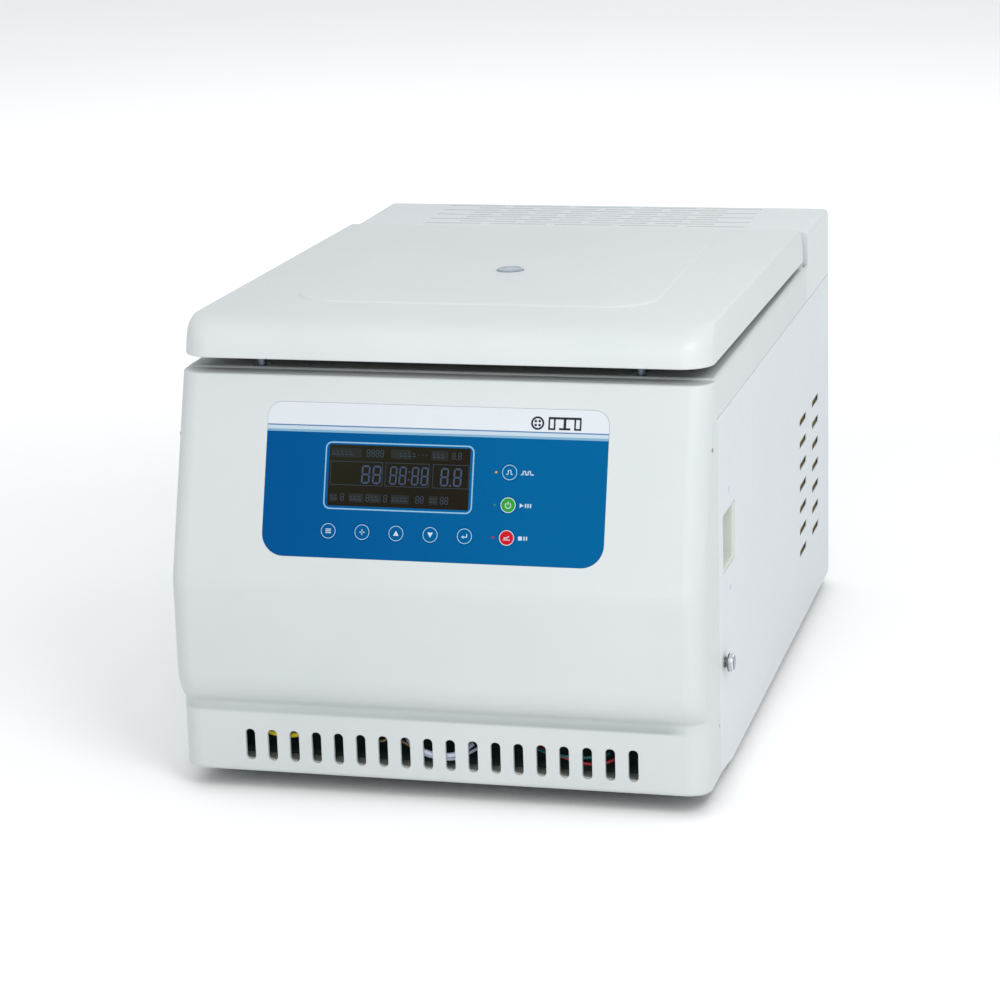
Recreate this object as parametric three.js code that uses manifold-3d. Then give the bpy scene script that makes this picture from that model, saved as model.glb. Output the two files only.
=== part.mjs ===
// Bench-top refrigerated laboratory centrifuge with a swing-out rotor.
// Millimetres, +Z up, front face towards -Y, the machine's right side (seen from the front) at +X.
// Working frame of the constants below: x = 0 on the machine's middle plane, y = 0 at the kick plate
// under the front, z = 0 at the lower edge of the front moulding. The last group moves everything so
// that the origin lies on the bench under the middle of the machine.
import * as THREE from 'three';
import { mergeVertices } from 'three/addons/utils/BufferGeometryUtils.js';
import { ConvexGeometry } from 'three/addons/geometries/ConvexGeometry.js';
import Module from 'manifold-3d';

const wasm = await Module();
wasm.setup();

// ---------------------------------------------------------------- driving dimensions
const HALF_W = 240;            // half the width of the casing
const DEPTH = 732;             // rear face, from the kick plate
const BAND_Y = -15;            // the front band stands this far in front of the kick plate
const SEAM_Y = 65;             // seam between the front moulding and the side panels
const BEZEL_TOP = 355.7;       // top edge of the front moulding
const WALL = 3.5;              // wall of the moulded shells
const CORNER_R = 20;           // vertical corner radius of the front moulding
const SLOPE = 18.2;            // lean of the display face from the vertical, degrees
const CREASE_Z = 179;          // height of the crease where the display face starts
const PANEL_LOW = -7;          // lower edge of the side panels and the base
const PANEL_TOP = 321.5;       // upper edge of the side panels
const DECK_Z = 357.5;          // deck surface under the lid
const DECK_END = 577.5;        // rear end of the deck skirts
const HOOD_Y = 592;            // front wall of the rear hood
const HOOD_Z = 391;            // top of the rear hood
const FOOT_LOW = -19.5;        // bench surface
const FOOT_X = 190, FOOT_Y1 = 88, FOOT_Y2 = 690, FOOT_R = 21;
const SLOT_N = 18, SLOT_PITCH = 20.55, SLOT_W = 8.7, SLOT_LOW = 11.4, SLOT_HIGH = 40.2;
// lid, closed position
const LID_LOW = 364.2, LID_TOP = 397.4, LID_Y0 = 40, LID_Y1 = 567;
const LID_AJAR = 0.6;          // the lid rests this many degrees above its closed position
const HINGE_Y = 580, HINGE_Z = 380;
const PIN_X = 172, PIN_Y = 76; // latch pins
// chamber and rotor
const AXIS_Y = 305;            // rotor axis
const BOWL_R = 184, BOWL_LOW = 150, BOWL_WALL = 1.6;
const PIVOT_R = 88, PIVOT_Z = 258, BUCKET_R = 32, BUCKET_UP = 20, BUCKET_DOWN = 80;
// release knob
const KNOB_Y = 88, KNOB_Z = 96;
// shift to the bench frame
const SHIFT_Y = -(DEPTH + BAND_Y) / 2, SHIFT_Z = -FOOT_LOW;

// ---------------------------------------------------------------- helpers
const rad = THREE.MathUtils.degToRad;
const V = (x, y, z) => new THREE.Vector3(x, y, z);

function solid(geometry) {
  let g = geometry.clone();
  g.deleteAttribute('normal');
  g.deleteAttribute('uv');
  g = mergeVertices(g, 1e-4);
  const idx = g.index.array, keep = [];
  for (let i = 0; i < idx.length; i += 3) {
    const a = idx[i], b = idx[i + 1], c = idx[i + 2];
    if (a !== b && b !== c && a !== c) keep.push(a, b, c);
  }
  return new wasm.Manifold(new wasm.Mesh({
    numProp: 3,
    vertProperties: new Float32Array(g.attributes.position.array),
    triVerts: new Uint32Array(keep),
  }));
}
function geometryOf(man) {
  const m = man.getMesh();
  const g = new THREE.BufferGeometry();
  const n = m.numProp, v = new Float32Array((m.vertProperties.length / n) * 3);
  for (let i = 0; i < v.length / 3; i++) for (let k = 0; k < 3; k++) v[3 * i + k] = m.vertProperties[n * i + k];
  g.setAttribute('position', new THREE.BufferAttribute(v, 3));
  g.setIndex(Array.from(m.triVerts));
  g.computeVertexNormals();
  return g;
}
const join = (first, ...rest) => geometryOf(rest.reduce((s, g) => s.add(solid(g)), solid(first)));
const cut = (first, ...rest) => geometryOf(rest.reduce((s, g) => s.subtract(solid(g)), solid(first)));

// outline made of points
function outline(points) {
  const s = new THREE.Shape();
  s.moveTo(points[0][0], points[0][1]);
  for (const p of points.slice(1)) s.lineTo(p[0], p[1]);
  s.closePath();
  return s;
}
const extrude = (points, depth) => new THREE.ExtrudeGeometry(outline(points), { depth, bevelEnabled: false, steps: 1 });
// prisms along each axis
const prismZ = (pts, z0, z1) => extrude(pts, z1 - z0).translate(0, 0, z0);
const prismX = (pts, x0, x1) => extrude(pts, x1 - x0).applyMatrix4(
  new THREE.Matrix4().makeBasis(V(0, 1, 0), V(0, 0, 1), V(1, 0, 0)).setPosition(x0, 0, 0));
const prismY = (pts, y0, y1) => extrude(pts, y1 - y0).applyMatrix4(
  new THREE.Matrix4().makeBasis(V(1, 0, 0), V(0, 0, 1), V(0, -1, 0)).setPosition(0, y1, 0));
const box = (x0, x1, y0, y1, z0, z1) => new THREE.BoxGeometry(x1 - x0, y1 - y0, z1 - z0)
  .translate((x0 + x1) / 2, (y0 + y1) / 2, (z0 + z1) / 2);
const cylZ = (r, x, y, z0, z1, n = 24, r2 = r) => new THREE.CylinderGeometry(r2, r, z1 - z0, n)
  .rotateX(Math.PI / 2).translate(x, y, (z0 + z1) / 2);
const cylX = (r, x0, x1, y, z, n = 20) => new THREE.CylinderGeometry(r, r, x1 - x0, n)
  .rotateZ(-Math.PI / 2).translate((x0 + x1) / 2, y, z);
const cylY = (r, x, y0, y1, z, n = 20) => new THREE.CylinderGeometry(r, r, y1 - y0, n)
  .translate(x, (y0 + y1) / 2, z);
const latheZ = (pts, n = 36) => new THREE.LatheGeometry(pts.map((p) => new THREE.Vector2(p[0], p[1])), n).rotateX(Math.PI / 2);
// rounded rectangle outline, radii for [low-low, high-low, high-high, low-high] corners
function rounded(x0, x1, y0, y1, r, seg = 4) {
  const R = Array.isArray(r) ? r : [r, r, r, r];
  const c = [[x0 + R[0], y0 + R[0], 180], [x1 - R[1], y0 + R[1], 270], [x1 - R[2], y1 - R[2], 0], [x0 + R[3], y1 - R[3], 90]];
  const out = [];
  c.forEach(([cx, cy, a0], k) => {
    if (R[k] < 1e-6) { out.push([cx, cy]); return; }
    for (let i = 0; i <= seg; i++) {
      const a = rad(a0 + (90 * i) / seg);
      out.push([cx + R[k] * Math.cos(a), cy + R[k] * Math.sin(a)]);
    }
  });
  return out;
}
const hull = (pts) => new ConvexGeometry(pts);

const group = new THREE.Group();
const parts = new THREE.Group();
parts.position.set(0, SHIFT_Y, SHIFT_Z);
group.add(parts);
function add(name, geometry, color, roughness, metalness, parent = parts) {
  const g = geometry.index ? geometry : mergeVertices((geometry.deleteAttribute('normal'), geometry.deleteAttribute('uv'), geometry), 1e-4);
  const mesh = new THREE.Mesh(g, new THREE.MeshStandardMaterial({ color, roughness, metalness }));
  mesh.name = name;
  parent.add(mesh);
  return mesh;
}
const PAINT = 0xe9ecea, STEEL = 0xb9bdc0, DARK = 0x2b2d2f, RUBBER = 0x1f1f20, BLUE = 0x03659f;

// ---------------------------------------------------------------- the display face's own frame
// local x along the machine, local y up the slope from the crease, local z out of the face
const faceFrame = new THREE.Group();
faceFrame.position.set(0, BAND_Y, CREASE_Z);
faceFrame.rotation.x = rad(90 - SLOPE);
parts.add(faceFrame);
faceFrame.updateMatrix();
const onFace = (g) => g.applyMatrix4(faceFrame.matrix);

// ---------------------------------------------------------------- front moulding
// stations [height, front y] of the outside; the wall is WALL thick all round
const upperStations = [[61, 0], [84, -12], [90, -14.6], [95, BAND_Y], [171, BAND_Y], [179, -14.4], [187, -12.37], [BEZEL_TOP, BAND_Y + (BEZEL_TOP - CREASE_Z) * Math.tan(rad(SLOPE))]];
function section(z, yf, back, hw, r, seg = 4) {
  return rounded(-hw, hw, yf, back, [r, r, 0, 0], seg).map((p) => V(p[0], p[1], z));
}
const outerUpper = hull(upperStations.flatMap(([z, y]) => section(z, y, SEAM_Y, HALF_W, CORNER_R)));
const outerKick = prismZ(rounded(-HALF_W, HALF_W, 0, SEAM_Y, [CORNER_R, CORNER_R, 0, 0], 4), 0, 75);
const innerStations = [[58, WALL + 0.2], [84, -8.3], [90, -11.1], [95, BAND_Y + WALL], [171, BAND_Y + WALL], [187, -8.7], [BEZEL_TOP - WALL, BAND_Y + WALL / Math.cos(rad(SLOPE)) + (BEZEL_TOP - WALL - CREASE_Z) * Math.tan(rad(SLOPE))]];
const innerUpper = hull(innerStations.flatMap(([z, y]) => section(z, y, SEAM_Y + 8, HALF_W - WALL, CORNER_R - WALL)));
const innerKick = prismZ(rounded(-HALF_W + WALL, HALF_W - WALL, WALL, SEAM_Y + 8, [CORNER_R - WALL, CORNER_R - WALL, 0, 0], 4), -2, 90);
const slots = [];
for (let i = 0; i < SLOT_N; i++) {
  const x = (i - (SLOT_N - 1) / 2) * SLOT_PITCH;
  slots.push(prismY(rounded(x - SLOT_W / 2, x + SLOT_W / 2, SLOT_LOW, SLOT_HIGH, SLOT_W / 2 - 0.05, 1), -3, WALL + 3));
}
// overlay recess, window and key holes in the face
const OVER = { x0: -153.5, x1: 153.5, y0: 27.5, y1: 162.5, rTop: 13, rLow: 20 };
const WIN = { x0: -99.3, x1: 35, y0: 69.8, y1: 129 };
const keyRow = [[-93.2, 50.7], [-62.5, 50.7], [-31.8, 50.7], [-1.1, 50.7], [29.6, 50.7]];
const keySide = [[67, 107.1], [67, 78.9], [67, 50.7]];
const ledAt = [[55, 106.9], [55, 78.8], [55, 50.7]];
const KEY_R = 7.6, LED_R = 2.2;
const overRecess = onFace(prismZ(rounded(OVER.x0 - 0.3, OVER.x1 + 0.3, OVER.y0 - 0.3, OVER.y1 + 0.3, [OVER.rLow, OVER.rLow, OVER.rTop, OVER.rTop], 4), -1, 4));
const windowHole = onFace(prismZ(rounded(WIN.x0 - 0.4, WIN.x1 + 0.4, WIN.y0 - 0.4, WIN.y1 + 0.4, 6.4, 3), -12, 4));
const keyHoles = [...keyRow, ...keySide].map(([x, y]) => onFace(cylZ(KEY_R + 0.55, x, y, -14, 4, 14)));
const ledHoles = ledAt.map(([x, y]) => onFace(cylZ(LED_R + 0.3, x, y, -14, 4, 8)));
const bezel = cut(join(outerUpper, outerKick), innerUpper, innerKick, ...slots, overRecess, windowHole, ...keyHoles, ...ledHoles);
add('front_bezel', bezel, PAINT, 0.45, 0);

// printed overlay, lying in its recess
const over = cut(
  prismZ(rounded(OVER.x0, OVER.x1, OVER.y0, OVER.y1, [OVER.rLow, OVER.rLow, OVER.rTop, OVER.rTop], 4), -0.7, 0.2),
  prismZ(rounded(WIN.x0 - 0.4, WIN.x1 + 0.4, WIN.y0 - 0.4, WIN.y1 + 0.4, 6.4, 3), -2, 4),
  ...[...keyRow, ...keySide].map(([x, y]) => cylZ(KEY_R + 0.45, x, y, -2, 4, 14)),
  ...ledAt.map(([x, y]) => cylZ(LED_R + 0.3, x, y, -2, 4, 8)));
add('control_overlay', over, BLUE, 0.35, 0, faceFrame);
// display module: glass front with a wider carrier behind the wall
add('lcd_display', join(
  prismZ(rounded(WIN.x0, WIN.x1, WIN.y0, WIN.y1, 6, 3), -8, 0.1),
  box(WIN.x0 - 8, WIN.x1 + 8, WIN.y0 - 6, WIN.y1 + 6, -12, -4.2)), 0x2d2315, 0.15, 0, faceFrame);
// keys: plungers with a retaining flange behind the wall
const keyNames = ['key_program', 'key_set', 'key_up', 'key_down', 'key_enter', 'key_pulse', 'key_start', 'key_stop'];
const keyColors = [BLUE, BLUE, BLUE, BLUE, BLUE, BLUE, 0x2a9a3a, 0xcc1a22];
[...keyRow, ...keySide].forEach(([x, y], i) => {
  const g = latheZ([[0, -5.4], [KEY_R + 1.4, -5.4], [KEY_R + 1.4, -4.2], [KEY_R, -4.2], [KEY_R, 0.6], [0, 0.6]], 14);
  const m = add(keyNames[i], g, keyColors[i], 0.4, 0, faceFrame);
  m.position.set(x, y, 0);
});
// indicator light guide: three domes on one strip behind the wall
add('indicator_guide', join(
  box(52.2, 57.4, 47, 111, -6.4, -4.2),
  ...ledAt.map(([x, y]) => latheZ([[0, -5], [LED_R, -5], [LED_R, -0.2], [LED_R * 0.6, 0.4], [0, 0.5]], 8).translate(x, y, 0))),
0xd9b23a, 0.3, 0, faceFrame);
// circuit board behind the display and keys
add('control_board', box(-135, 110, 30, 150, -20, -17.5), 0x1d6b3a, 0.6, 0, faceFrame);

// ---------------------------------------------------------------- deck, hood, panels, base
const shellU = (z0, z1, r) => rounded(-HALF_W, HALF_W, z0, z1, [0, 0, r, r], 3);
const deck = cut(
  prismY(shellU(PANEL_TOP + 0.8, DECK_Z, 5), SEAM_Y + 0.5, HOOD_Y - 0.5),
  prismY(rounded(-HALF_W + 3, HALF_W - 3, PANEL_TOP - 5, DECK_Z - 3, [0, 0, 3, 3], 2), 0, HOOD_Y + 5),
  box(-HALF_W - 1, -HALF_W + 5, DECK_END, HOOD_Y + 5, 300, 370),
  box(HALF_W - 5, HALF_W + 1, DECK_END, HOOD_Y + 5, 300, 370),
  cylZ(BOWL_R + 4, 0, AXIS_Y, 340, 370, 48),
  cylZ(7.5, -PIN_X, PIN_Y, 340, 370, 16),
  cylZ(7.5, PIN_X, PIN_Y, 340, 370, 16));
add('deck_cover', deck, PAINT, 0.45, 0);

const hoodSlots = [];
const SLOT_L = 62, H_PITCH = 70, ROW = 13.4, ROW0 = 614.8;
for (let r = 0; r < 9; r++) {
  const n = r % 2 ? 4 : 5, y = ROW0 + r * ROW;
  for (let i = 0; i < n; i++) {
    const x = (i - (n - 1) / 2) * H_PITCH;
    hoodSlots.push(box(x - SLOT_L / 2, x + SLOT_L / 2, y - 2.6, y + 2.6, 380, 400));
  }
}
const hood = cut(
  join(
    prismY(shellU(PANEL_TOP + 0.8, HOOD_Z, 5), HOOD_Y, DEPTH),
    box(HALF_W - 3, HALF_W, DECK_END + 0.5, HOOD_Y + 1, PANEL_TOP + 0.8, DECK_Z - 0.6),
    box(-HALF_W, -HALF_W + 3, DECK_END + 0.5, HOOD_Y + 1, PANEL_TOP + 0.8, DECK_Z - 0.6)),
  prismY(rounded(-HALF_W + 3, HALF_W - 3, PANEL_TOP - 5, HOOD_Z - 3, [0, 0, 3, 3], 2), HOOD_Y + 3, DEPTH - 3),
  ...hoodSlots);
add('rear_hood', hood, PAINT, 0.45, 0);

// side panels with the grip opening, the rear air slots and, on the right, the release knob's hole
const GRIP = { y0: 87, y1: 147, z0: 176, z1: 230 };
function sidePanel(side) {
  const x0 = side > 0 ? HALF_W - 2 : -HALF_W, x1 = x0 + 2;
  const tools = [prismX(rounded(GRIP.y0, GRIP.y1, GRIP.z0, GRIP.z1, 5, 2), x0 - 2, x1 + 2)];
  for (let r = 0; r < 7; r++) for (const y of [552, 636]) {
    const z = 68.5 + r * 22.83;
    tools.push(box(x0 - 2, x1 + 2, y - 20, y + 20, z - 2.8, z + 2.8));
  }
  if (side > 0) tools.push(cylX(4.2, x0 - 2, x1 + 2, KNOB_Y, KNOB_Z, 12));
  return cut(prismX(rounded(SEAM_Y + 0.5, DEPTH - 2, PANEL_LOW, PANEL_TOP, [4, 4, 0, 0], 2), x0, x1), ...tools);
}
add('side_panel_right', sidePanel(1), PAINT, 0.5, 0);
add('side_panel_left', sidePanel(-1), PAINT, 0.5, 0);
function gripCup(side) {
  const outerX = HALF_W - 0.4, innerX = HALF_W - 36;
  const g = cut(
    prismX(rounded(GRIP.y0 + 0.4, GRIP.y1 - 0.4, GRIP.z0 + 0.4, GRIP.z1 - 0.4, 4.6, 2), innerX, outerX),
    prismX(rounded(GRIP.y0 + 2.9, GRIP.y1 - 2.9, GRIP.z0 + 2.9, GRIP.z1 - 2.9, 3, 2), innerX + 2.5, outerX + 2));
  return side > 0 ? g : g.applyMatrix4(new THREE.Matrix4().makeTranslation(-(innerX + outerX), 0, 0)).applyMatrix4(new THREE.Matrix4().makeRotationAxis(V(0, 0, 1), 0));
}
add('grip_cup_right', gripCup(1), 0xefefe6, 0.5, 0);
// the left cup is the same moulding turned half round about a level axis through its own middle
{
  const g = gripCup(1).translate(0, -(GRIP.y0 + GRIP.y1) / 2, 0).rotateZ(Math.PI).translate(0, (GRIP.y0 + GRIP.y1) / 2, 0);
  add('grip_cup_left', g, 0xefefe6, 0.5, 0);
}
// rear panel with inlet and switch openings and air slots
const INLET = { x: -150, z: 62, w: 28, h: 22 }, ROCKER = { x: -92, z: 62, w: 22, h: 30 };
const rearTools = [
  box(INLET.x - INLET.w / 2 - 0.4, INLET.x + INLET.w / 2 + 0.4, 700, 740, INLET.z - INLET.h / 2 - 0.4, INLET.z + INLET.h / 2 + 0.4),
  box(ROCKER.x - ROCKER.w / 2 - 0.4, ROCKER.x + ROCKER.w / 2 + 0.4, 700, 740, ROCKER.z - ROCKER.h / 2 - 0.4, ROCKER.z + ROCKER.h / 2 + 0.4)];
for (let r = 0; r < 5; r++) for (const x of [40, 110, 180]) rearTools.push(box(x - 30, x + 30, 700, 740, 120 + r * 22 - 2.8, 120 + r * 22 + 2.8));
add('rear_panel', cut(prismY(rounded(-HALF_W, HALF_W, PANEL_LOW, PANEL_TOP, [4, 4, 0, 0], 2), DEPTH - 1.6, DEPTH), ...rearTools), PAINT, 0.5, 0);
add('power_inlet', cut(
  join(box(INLET.x - INLET.w / 2, INLET.x + INLET.w / 2, DEPTH - 26, DEPTH + 0, INLET.z - INLET.h / 2, INLET.z + INLET.h / 2),
    box(INLET.x - INLET.w / 2 - 4, INLET.x + INLET.w / 2 + 4, DEPTH - 5, DEPTH - 2, INLET.z - INLET.h / 2 - 4, INLET.z + INLET.h / 2 + 4)),
  prismY(rounded(INLET.x - 11, INLET.x + 11, INLET.z - 7.5, INLET.z + 7.5, [0.5, 0.5, 4, 4], 1), DEPTH - 18, DEPTH + 2)), DARK, 0.5, 0);
// mains switch: frame and rocker
add('switch_frame', cut(
  join(box(ROCKER.x - ROCKER.w / 2, ROCKER.x + ROCKER.w / 2, DEPTH - 22, DEPTH, ROCKER.z - ROCKER.h / 2, ROCKER.z + ROCKER.h / 2),
    box(ROCKER.x - ROCKER.w / 2 - 3, ROCKER.x + ROCKER.w / 2 + 3, DEPTH - 5, DEPTH - 2, ROCKER.z - ROCKER.h / 2 - 3, ROCKER.z + ROCKER.h / 2 + 3)),
  box(ROCKER.x - 8.5, ROCKER.x + 8.5, DEPTH - 18, DEPTH + 2, ROCKER.z - 12.5, ROCKER.z + 12.5)), DARK, 0.5, 0);
// rocker: V-shaped front, pivot along X through (DEPTH - 8, ROCKER.z)
add('power_switch', prismX([[DEPTH - 13, ROCKER.z - 8], [DEPTH - 1.6, ROCKER.z - 10.8], [DEPTH - 3.2, ROCKER.z], [DEPTH - 0.2, ROCKER.z + 10.4], [DEPTH - 13, ROCKER.z + 8]]
  , ROCKER.x - 7.8, ROCKER.x + 7.8), 0x8c1b1b, 0.4, 0);

add('base_pan', box(-HALF_W + 2.5, HALF_W - 2.5, 24, DEPTH - 2.2, PANEL_LOW, PANEL_LOW + 3.5), STEEL, 0.5, 0.6);
for (const [n, x, y] of [['foot_front_left', -FOOT_X, FOOT_Y1], ['foot_front_right', FOOT_X, FOOT_Y1], ['foot_rear_left', -FOOT_X, FOOT_Y2], ['foot_rear_right', FOOT_X, FOOT_Y2]]) {
  add(n, cylZ(FOOT_R - 2, x, y, FOOT_LOW, PANEL_LOW - 0.3, 20, FOOT_R), RUBBER, 0.9, 0);
}

// ---------------------------------------------------------------- lid (modelled closed, then set ajar)
const lid = new THREE.Group();
lid.position.set(0, HINGE_Y, HINGE_Z);
lid.rotation.x = rad(-LID_AJAR);
parts.add(lid);
const inLid = (g) => g.translate(0, -HINGE_Y, -HINGE_Z);
// stations [height, half width, front y, front corner radius]
const lidStations = [
  [LID_LOW, 238.5, LID_Y0, 28], [372, 238.2, 41.3, 28], [380.5, 237.7, 45, 27], [387.5, 237.1, 51.5, 25.5],
  [392.3, 236.4, 60.5, 23], [395.4, 235.4, 72, 20], [LID_TOP, 233, 90, 14]];
const lidRear = [LID_Y1, LID_Y1, LID_Y1, LID_Y1, LID_Y1 - 0.5, LID_Y1 - 1.6, LID_Y1 - 5];
const lidOuter = hull(lidStations.flatMap(([z, hw, y, r], k) => rounded(-hw, hw, y, lidRear[k], [r, r, 3, 3], 5).map((p) => V(p[0], p[1], z))));
// raised field on the lid, slightly narrower to the rear
const fieldPts = (d, z) => {
  const out = [];
  const yF = 136 + d, yB = 556, xF = 168 - d, xB = 159.5 - d, R = 44 - d * 0.5;
  for (let i = 0; i <= 5; i++) { const a = rad(180 + 18 * i); out.push([-xF + R + R * Math.cos(a), yF + R + R * Math.sin(a)]); }
  for (let i = 0; i <= 5; i++) { const a = rad(270 + 18 * i); out.push([xF - R + R * Math.cos(a), yF + R + R * Math.sin(a)]); }
  out.push([xB, yB - d], [-xB, yB - d]);
  return out.map((p) => V(p[0], p[1], z));
};
const field = hull([...fieldPts(0, LID_TOP - 1), ...fieldPts(0, LID_TOP - 0.05), ...fieldPts(3.2, LID_TOP + 1.6)]);
const lidInner = hull([
  ...rounded(-235, 235, LID_Y0 + 3.6, LID_Y1 - 3.2, [25, 25, 1, 1], 4).map((p) => V(p[0], p[1], LID_LOW - 2)),
  ...rounded(-234, 234, 49, LID_Y1 - 3.2, [22, 22, 1, 1], 4).map((p) => V(p[0], p[1], 382)),
  ...rounded(-230, 230, 84, LID_Y1 - 6, [14, 14, 1, 1], 4).map((p) => V(p[0], p[1], LID_TOP - WALL))]);
const SIGHT_R = 14;
const lidShell = cut(join(lidOuter, field), lidInner,
  cylZ(SIGHT_R + 0.2, 0, AXIS_Y, 380, 410, 20),
  box(174.5, 195.5, LID_Y1 - 8, LID_Y1 + 5, 360, 391.5),
  box(-195.5, -174.5, LID_Y1 - 8, LID_Y1 + 5, 360, 391.5));
add('lid_shell', inLid(lidShell), PAINT, 0.45, 0, lid);
// steel liner plate under the lid with a shallow dish over the chamber
const LINER_Z = 366;
const linerPlate = prismZ(rounded(-233.5, 233.5, LID_Y0 + 8, LID_Y1 - 8, [22, 22, 4, 4], 4), LINER_Z, LINER_Z + 2);
add('lid_liner', inLid(cut(linerPlate,
  cylZ(SIGHT_R - 2, 0, AXIS_Y, 360, 372, 24),
  cylZ(4.6, -PIN_X, PIN_Y, 360, 372, 12),
  cylZ(4.6, PIN_X, PIN_Y, 360, 372, 12),
  box(173.5, 196.5, LID_Y1 - 30, LID_Y1, 360, 372),
  box(-196.5, -173.5, LID_Y1 - 30, LID_Y1, 360, 372))), STEEL, 0.3, 0.8, lid);
// sight glass: clear plug from the liner to the top, with a low rim
add('sight_glass', inLid(latheZ([[0, LINER_Z - 0.6], [SIGHT_R - 2.4, LINER_Z - 0.6], [SIGHT_R - 2.4, LID_TOP - 1], [SIGHT_R - 0.5, LID_TOP - 1], [SIGHT_R - 0.5, LID_TOP + 3], [SIGHT_R - 1.3, LID_TOP + 3.5], [0, LID_TOP + 3.5]], 20).translate(0, AXIS_Y, 0)), 0xa9bccd, 0.1, 0, lid);
// latch pins hanging from the liner: groove above a wider head
for (const [n, x] of [['latch_pin_left', -PIN_X], ['latch_pin_right', PIN_X]]) {
  add(n, inLid(latheZ([[0, 336.9], [2.8, 336.9], [4.2, 338.2], [4.2, 339], [2.2, 339.2], [2.2, 342], [4, 342.6], [4, 368.4], [7.5, 368.4], [7.5, 371], [0, 371]], 10).translate(x, PIN_Y, 0)), 0x8f9497, 0.25, 0.9, lid);
}
// hinge arms: from inside the lid to a knuckle round the shaft
function hingeArm(x) {
  return cut(
    join(box(x - 7, x + 7, 515, HINGE_Y, 370, 386), cylX(9, x - 7, x + 7, HINGE_Y, HINGE_Z, 20)),
    cylX(5.4, x - 9, x + 9, HINGE_Y, HINGE_Z, 16));
}
add('hinge_arm_left', inLid(hingeArm(-185)), STEEL, 0.4, 0.8, lid);
add('hinge_arm_right', inLid(hingeArm(185)), STEEL, 0.4, 0.8, lid);
// brackets on the deck and the shaft they carry
function hingeBracket(x) {
  return cut(
    join(box(x - 4, x + 4, HINGE_Y - 8, HINGE_Y + 8, DECK_Z + 0.3, HINGE_Z), cylX(8.5, x - 4, x + 4, HINGE_Y, HINGE_Z, 20),
      box(x - 11, x + 11, HINGE_Y - 9, HINGE_Y + 10, DECK_Z + 0.3, DECK_Z + 3.5)),
    cylX(5.4, x - 6, x + 6, HINGE_Y, HINGE_Z, 16));
}
add('hinge_bracket_left', hingeBracket(-205), STEEL, 0.4, 0.8);
add('hinge_bracket_right', hingeBracket(205), STEEL, 0.4, 0.8);
add('hinge_shaft', cylX(5, -216, 216, HINGE_Y, HINGE_Z, 16), STEEL, 0.3, 0.9);
// torsion springs wound round the shaft beside each arm
function coil(x0, x1, r, wire, turns) {
  const pts = [];
  for (let i = 0; i <= turns * 9; i++) {
    const a = (i / 9) * 2 * Math.PI;
    pts.push(V(x0 + ((x1 - x0) * i) / (turns * 9), HINGE_Y + r * Math.cos(a), HINGE_Z + r * Math.sin(a)));
  }
  const curve = new THREE.CatmullRomCurve3(pts);
  const ring = [[-wire, 0], [0, -wire], [wire, 0], [0, wire]];
  return new THREE.ExtrudeGeometry(outline(ring), { extrudePath: curve, steps: turns * 9, bevelEnabled: false });
}
add('lid_spring_left', coil(-172, -154, 7.2, 1.1, 4), 0x6e7174, 0.35, 0.9);
add('lid_spring_right', coil(154, 172, 7.2, 1.1, 4), 0x6e7174, 0.35, 0.9);

// ---------------------------------------------------------------- latch and release
// sliding lock plate under the deck; its holes stand 3 mm off the pins until the knob is pulled
add('latch_bar', cut(
  box(-192, 190, PIN_Y - 9, PIN_Y + 9, 339.6, 341.6),
  cylZ(6, -PIN_X - 3.2, PIN_Y, 330, 350, 16),
  cylZ(6, PIN_X - 3.2, PIN_Y, 330, 350, 16)), STEEL, 0.4, 0.8);
add('release_knob', latheZ([[0, -34], [5, -34], [5, -30], [2.6, -30], [2.6, -2], [3.6, -1], [3.6, 3.6], [7.6, 4.2], [8.2, 5.4], [8.2, 8], [7.2, 9], [0, 9.4]], 14)
  .rotateY(Math.PI / 2).translate(HALF_W, KNOB_Y, KNOB_Z), 0xc9cccf, 0.15, 1);

// ---------------------------------------------------------------- chamber
const bowl = latheZ([
  [26, BOWL_LOW], [BOWL_R - 21, BOWL_LOW], [BOWL_R - 6, BOWL_LOW + 7], [BOWL_R + BOWL_WALL, BOWL_LOW + 24], [BOWL_R + BOWL_WALL, 352.2],
  [BOWL_R + 11, 352.2], [BOWL_R + 11, 353.9], [BOWL_R, 353.9], [BOWL_R, BOWL_LOW + 24.6], [BOWL_R - 7.2, BOWL_LOW + 8.2],
  [BOWL_R - 21.6, BOWL_LOW + BOWL_WALL], [26, BOWL_LOW + BOWL_WALL], [26, BOWL_LOW]], 32).translate(0, AXIS_Y, 0);
add('chamber_bowl', bowl, STEEL, 0.3, 0.8);
add('chamber_insulation', latheZ([
  [30, BOWL_LOW - 14], [BOWL_R + 12, BOWL_LOW - 14], [BOWL_R + 20, BOWL_LOW - 4], [BOWL_R + 20, 351.4], [BOWL_R + 5.5, 351.4],
  [BOWL_R + 5.5, BOWL_LOW + 22], [BOWL_R - 2, BOWL_LOW + 4], [BOWL_R - 18, BOWL_LOW - 1], [30, BOWL_LOW - 1], [30, BOWL_LOW - 14]], 24).translate(0, AXIS_Y, 0), 0xd9cf9e, 0.95, 0);
add('chamber_gasket', latheZ([
  [BOWL_R + 2.6, 350], [BOWL_R + 3.6, 350], [BOWL_R + 3.6, DECK_Z + 0.4], [BOWL_R + 12, DECK_Z + 0.4], [BOWL_R + 12, DECK_Z + 3], [BOWL_R + 7, 365],
  [BOWL_R + 3, 365], [BOWL_R + 2.6, 350]].map(([r, z]) => [r, Math.max(z, 354.3)]), 32).translate(0, AXIS_Y, 0), 0x3a3c3d, 0.85, 0);

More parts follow.
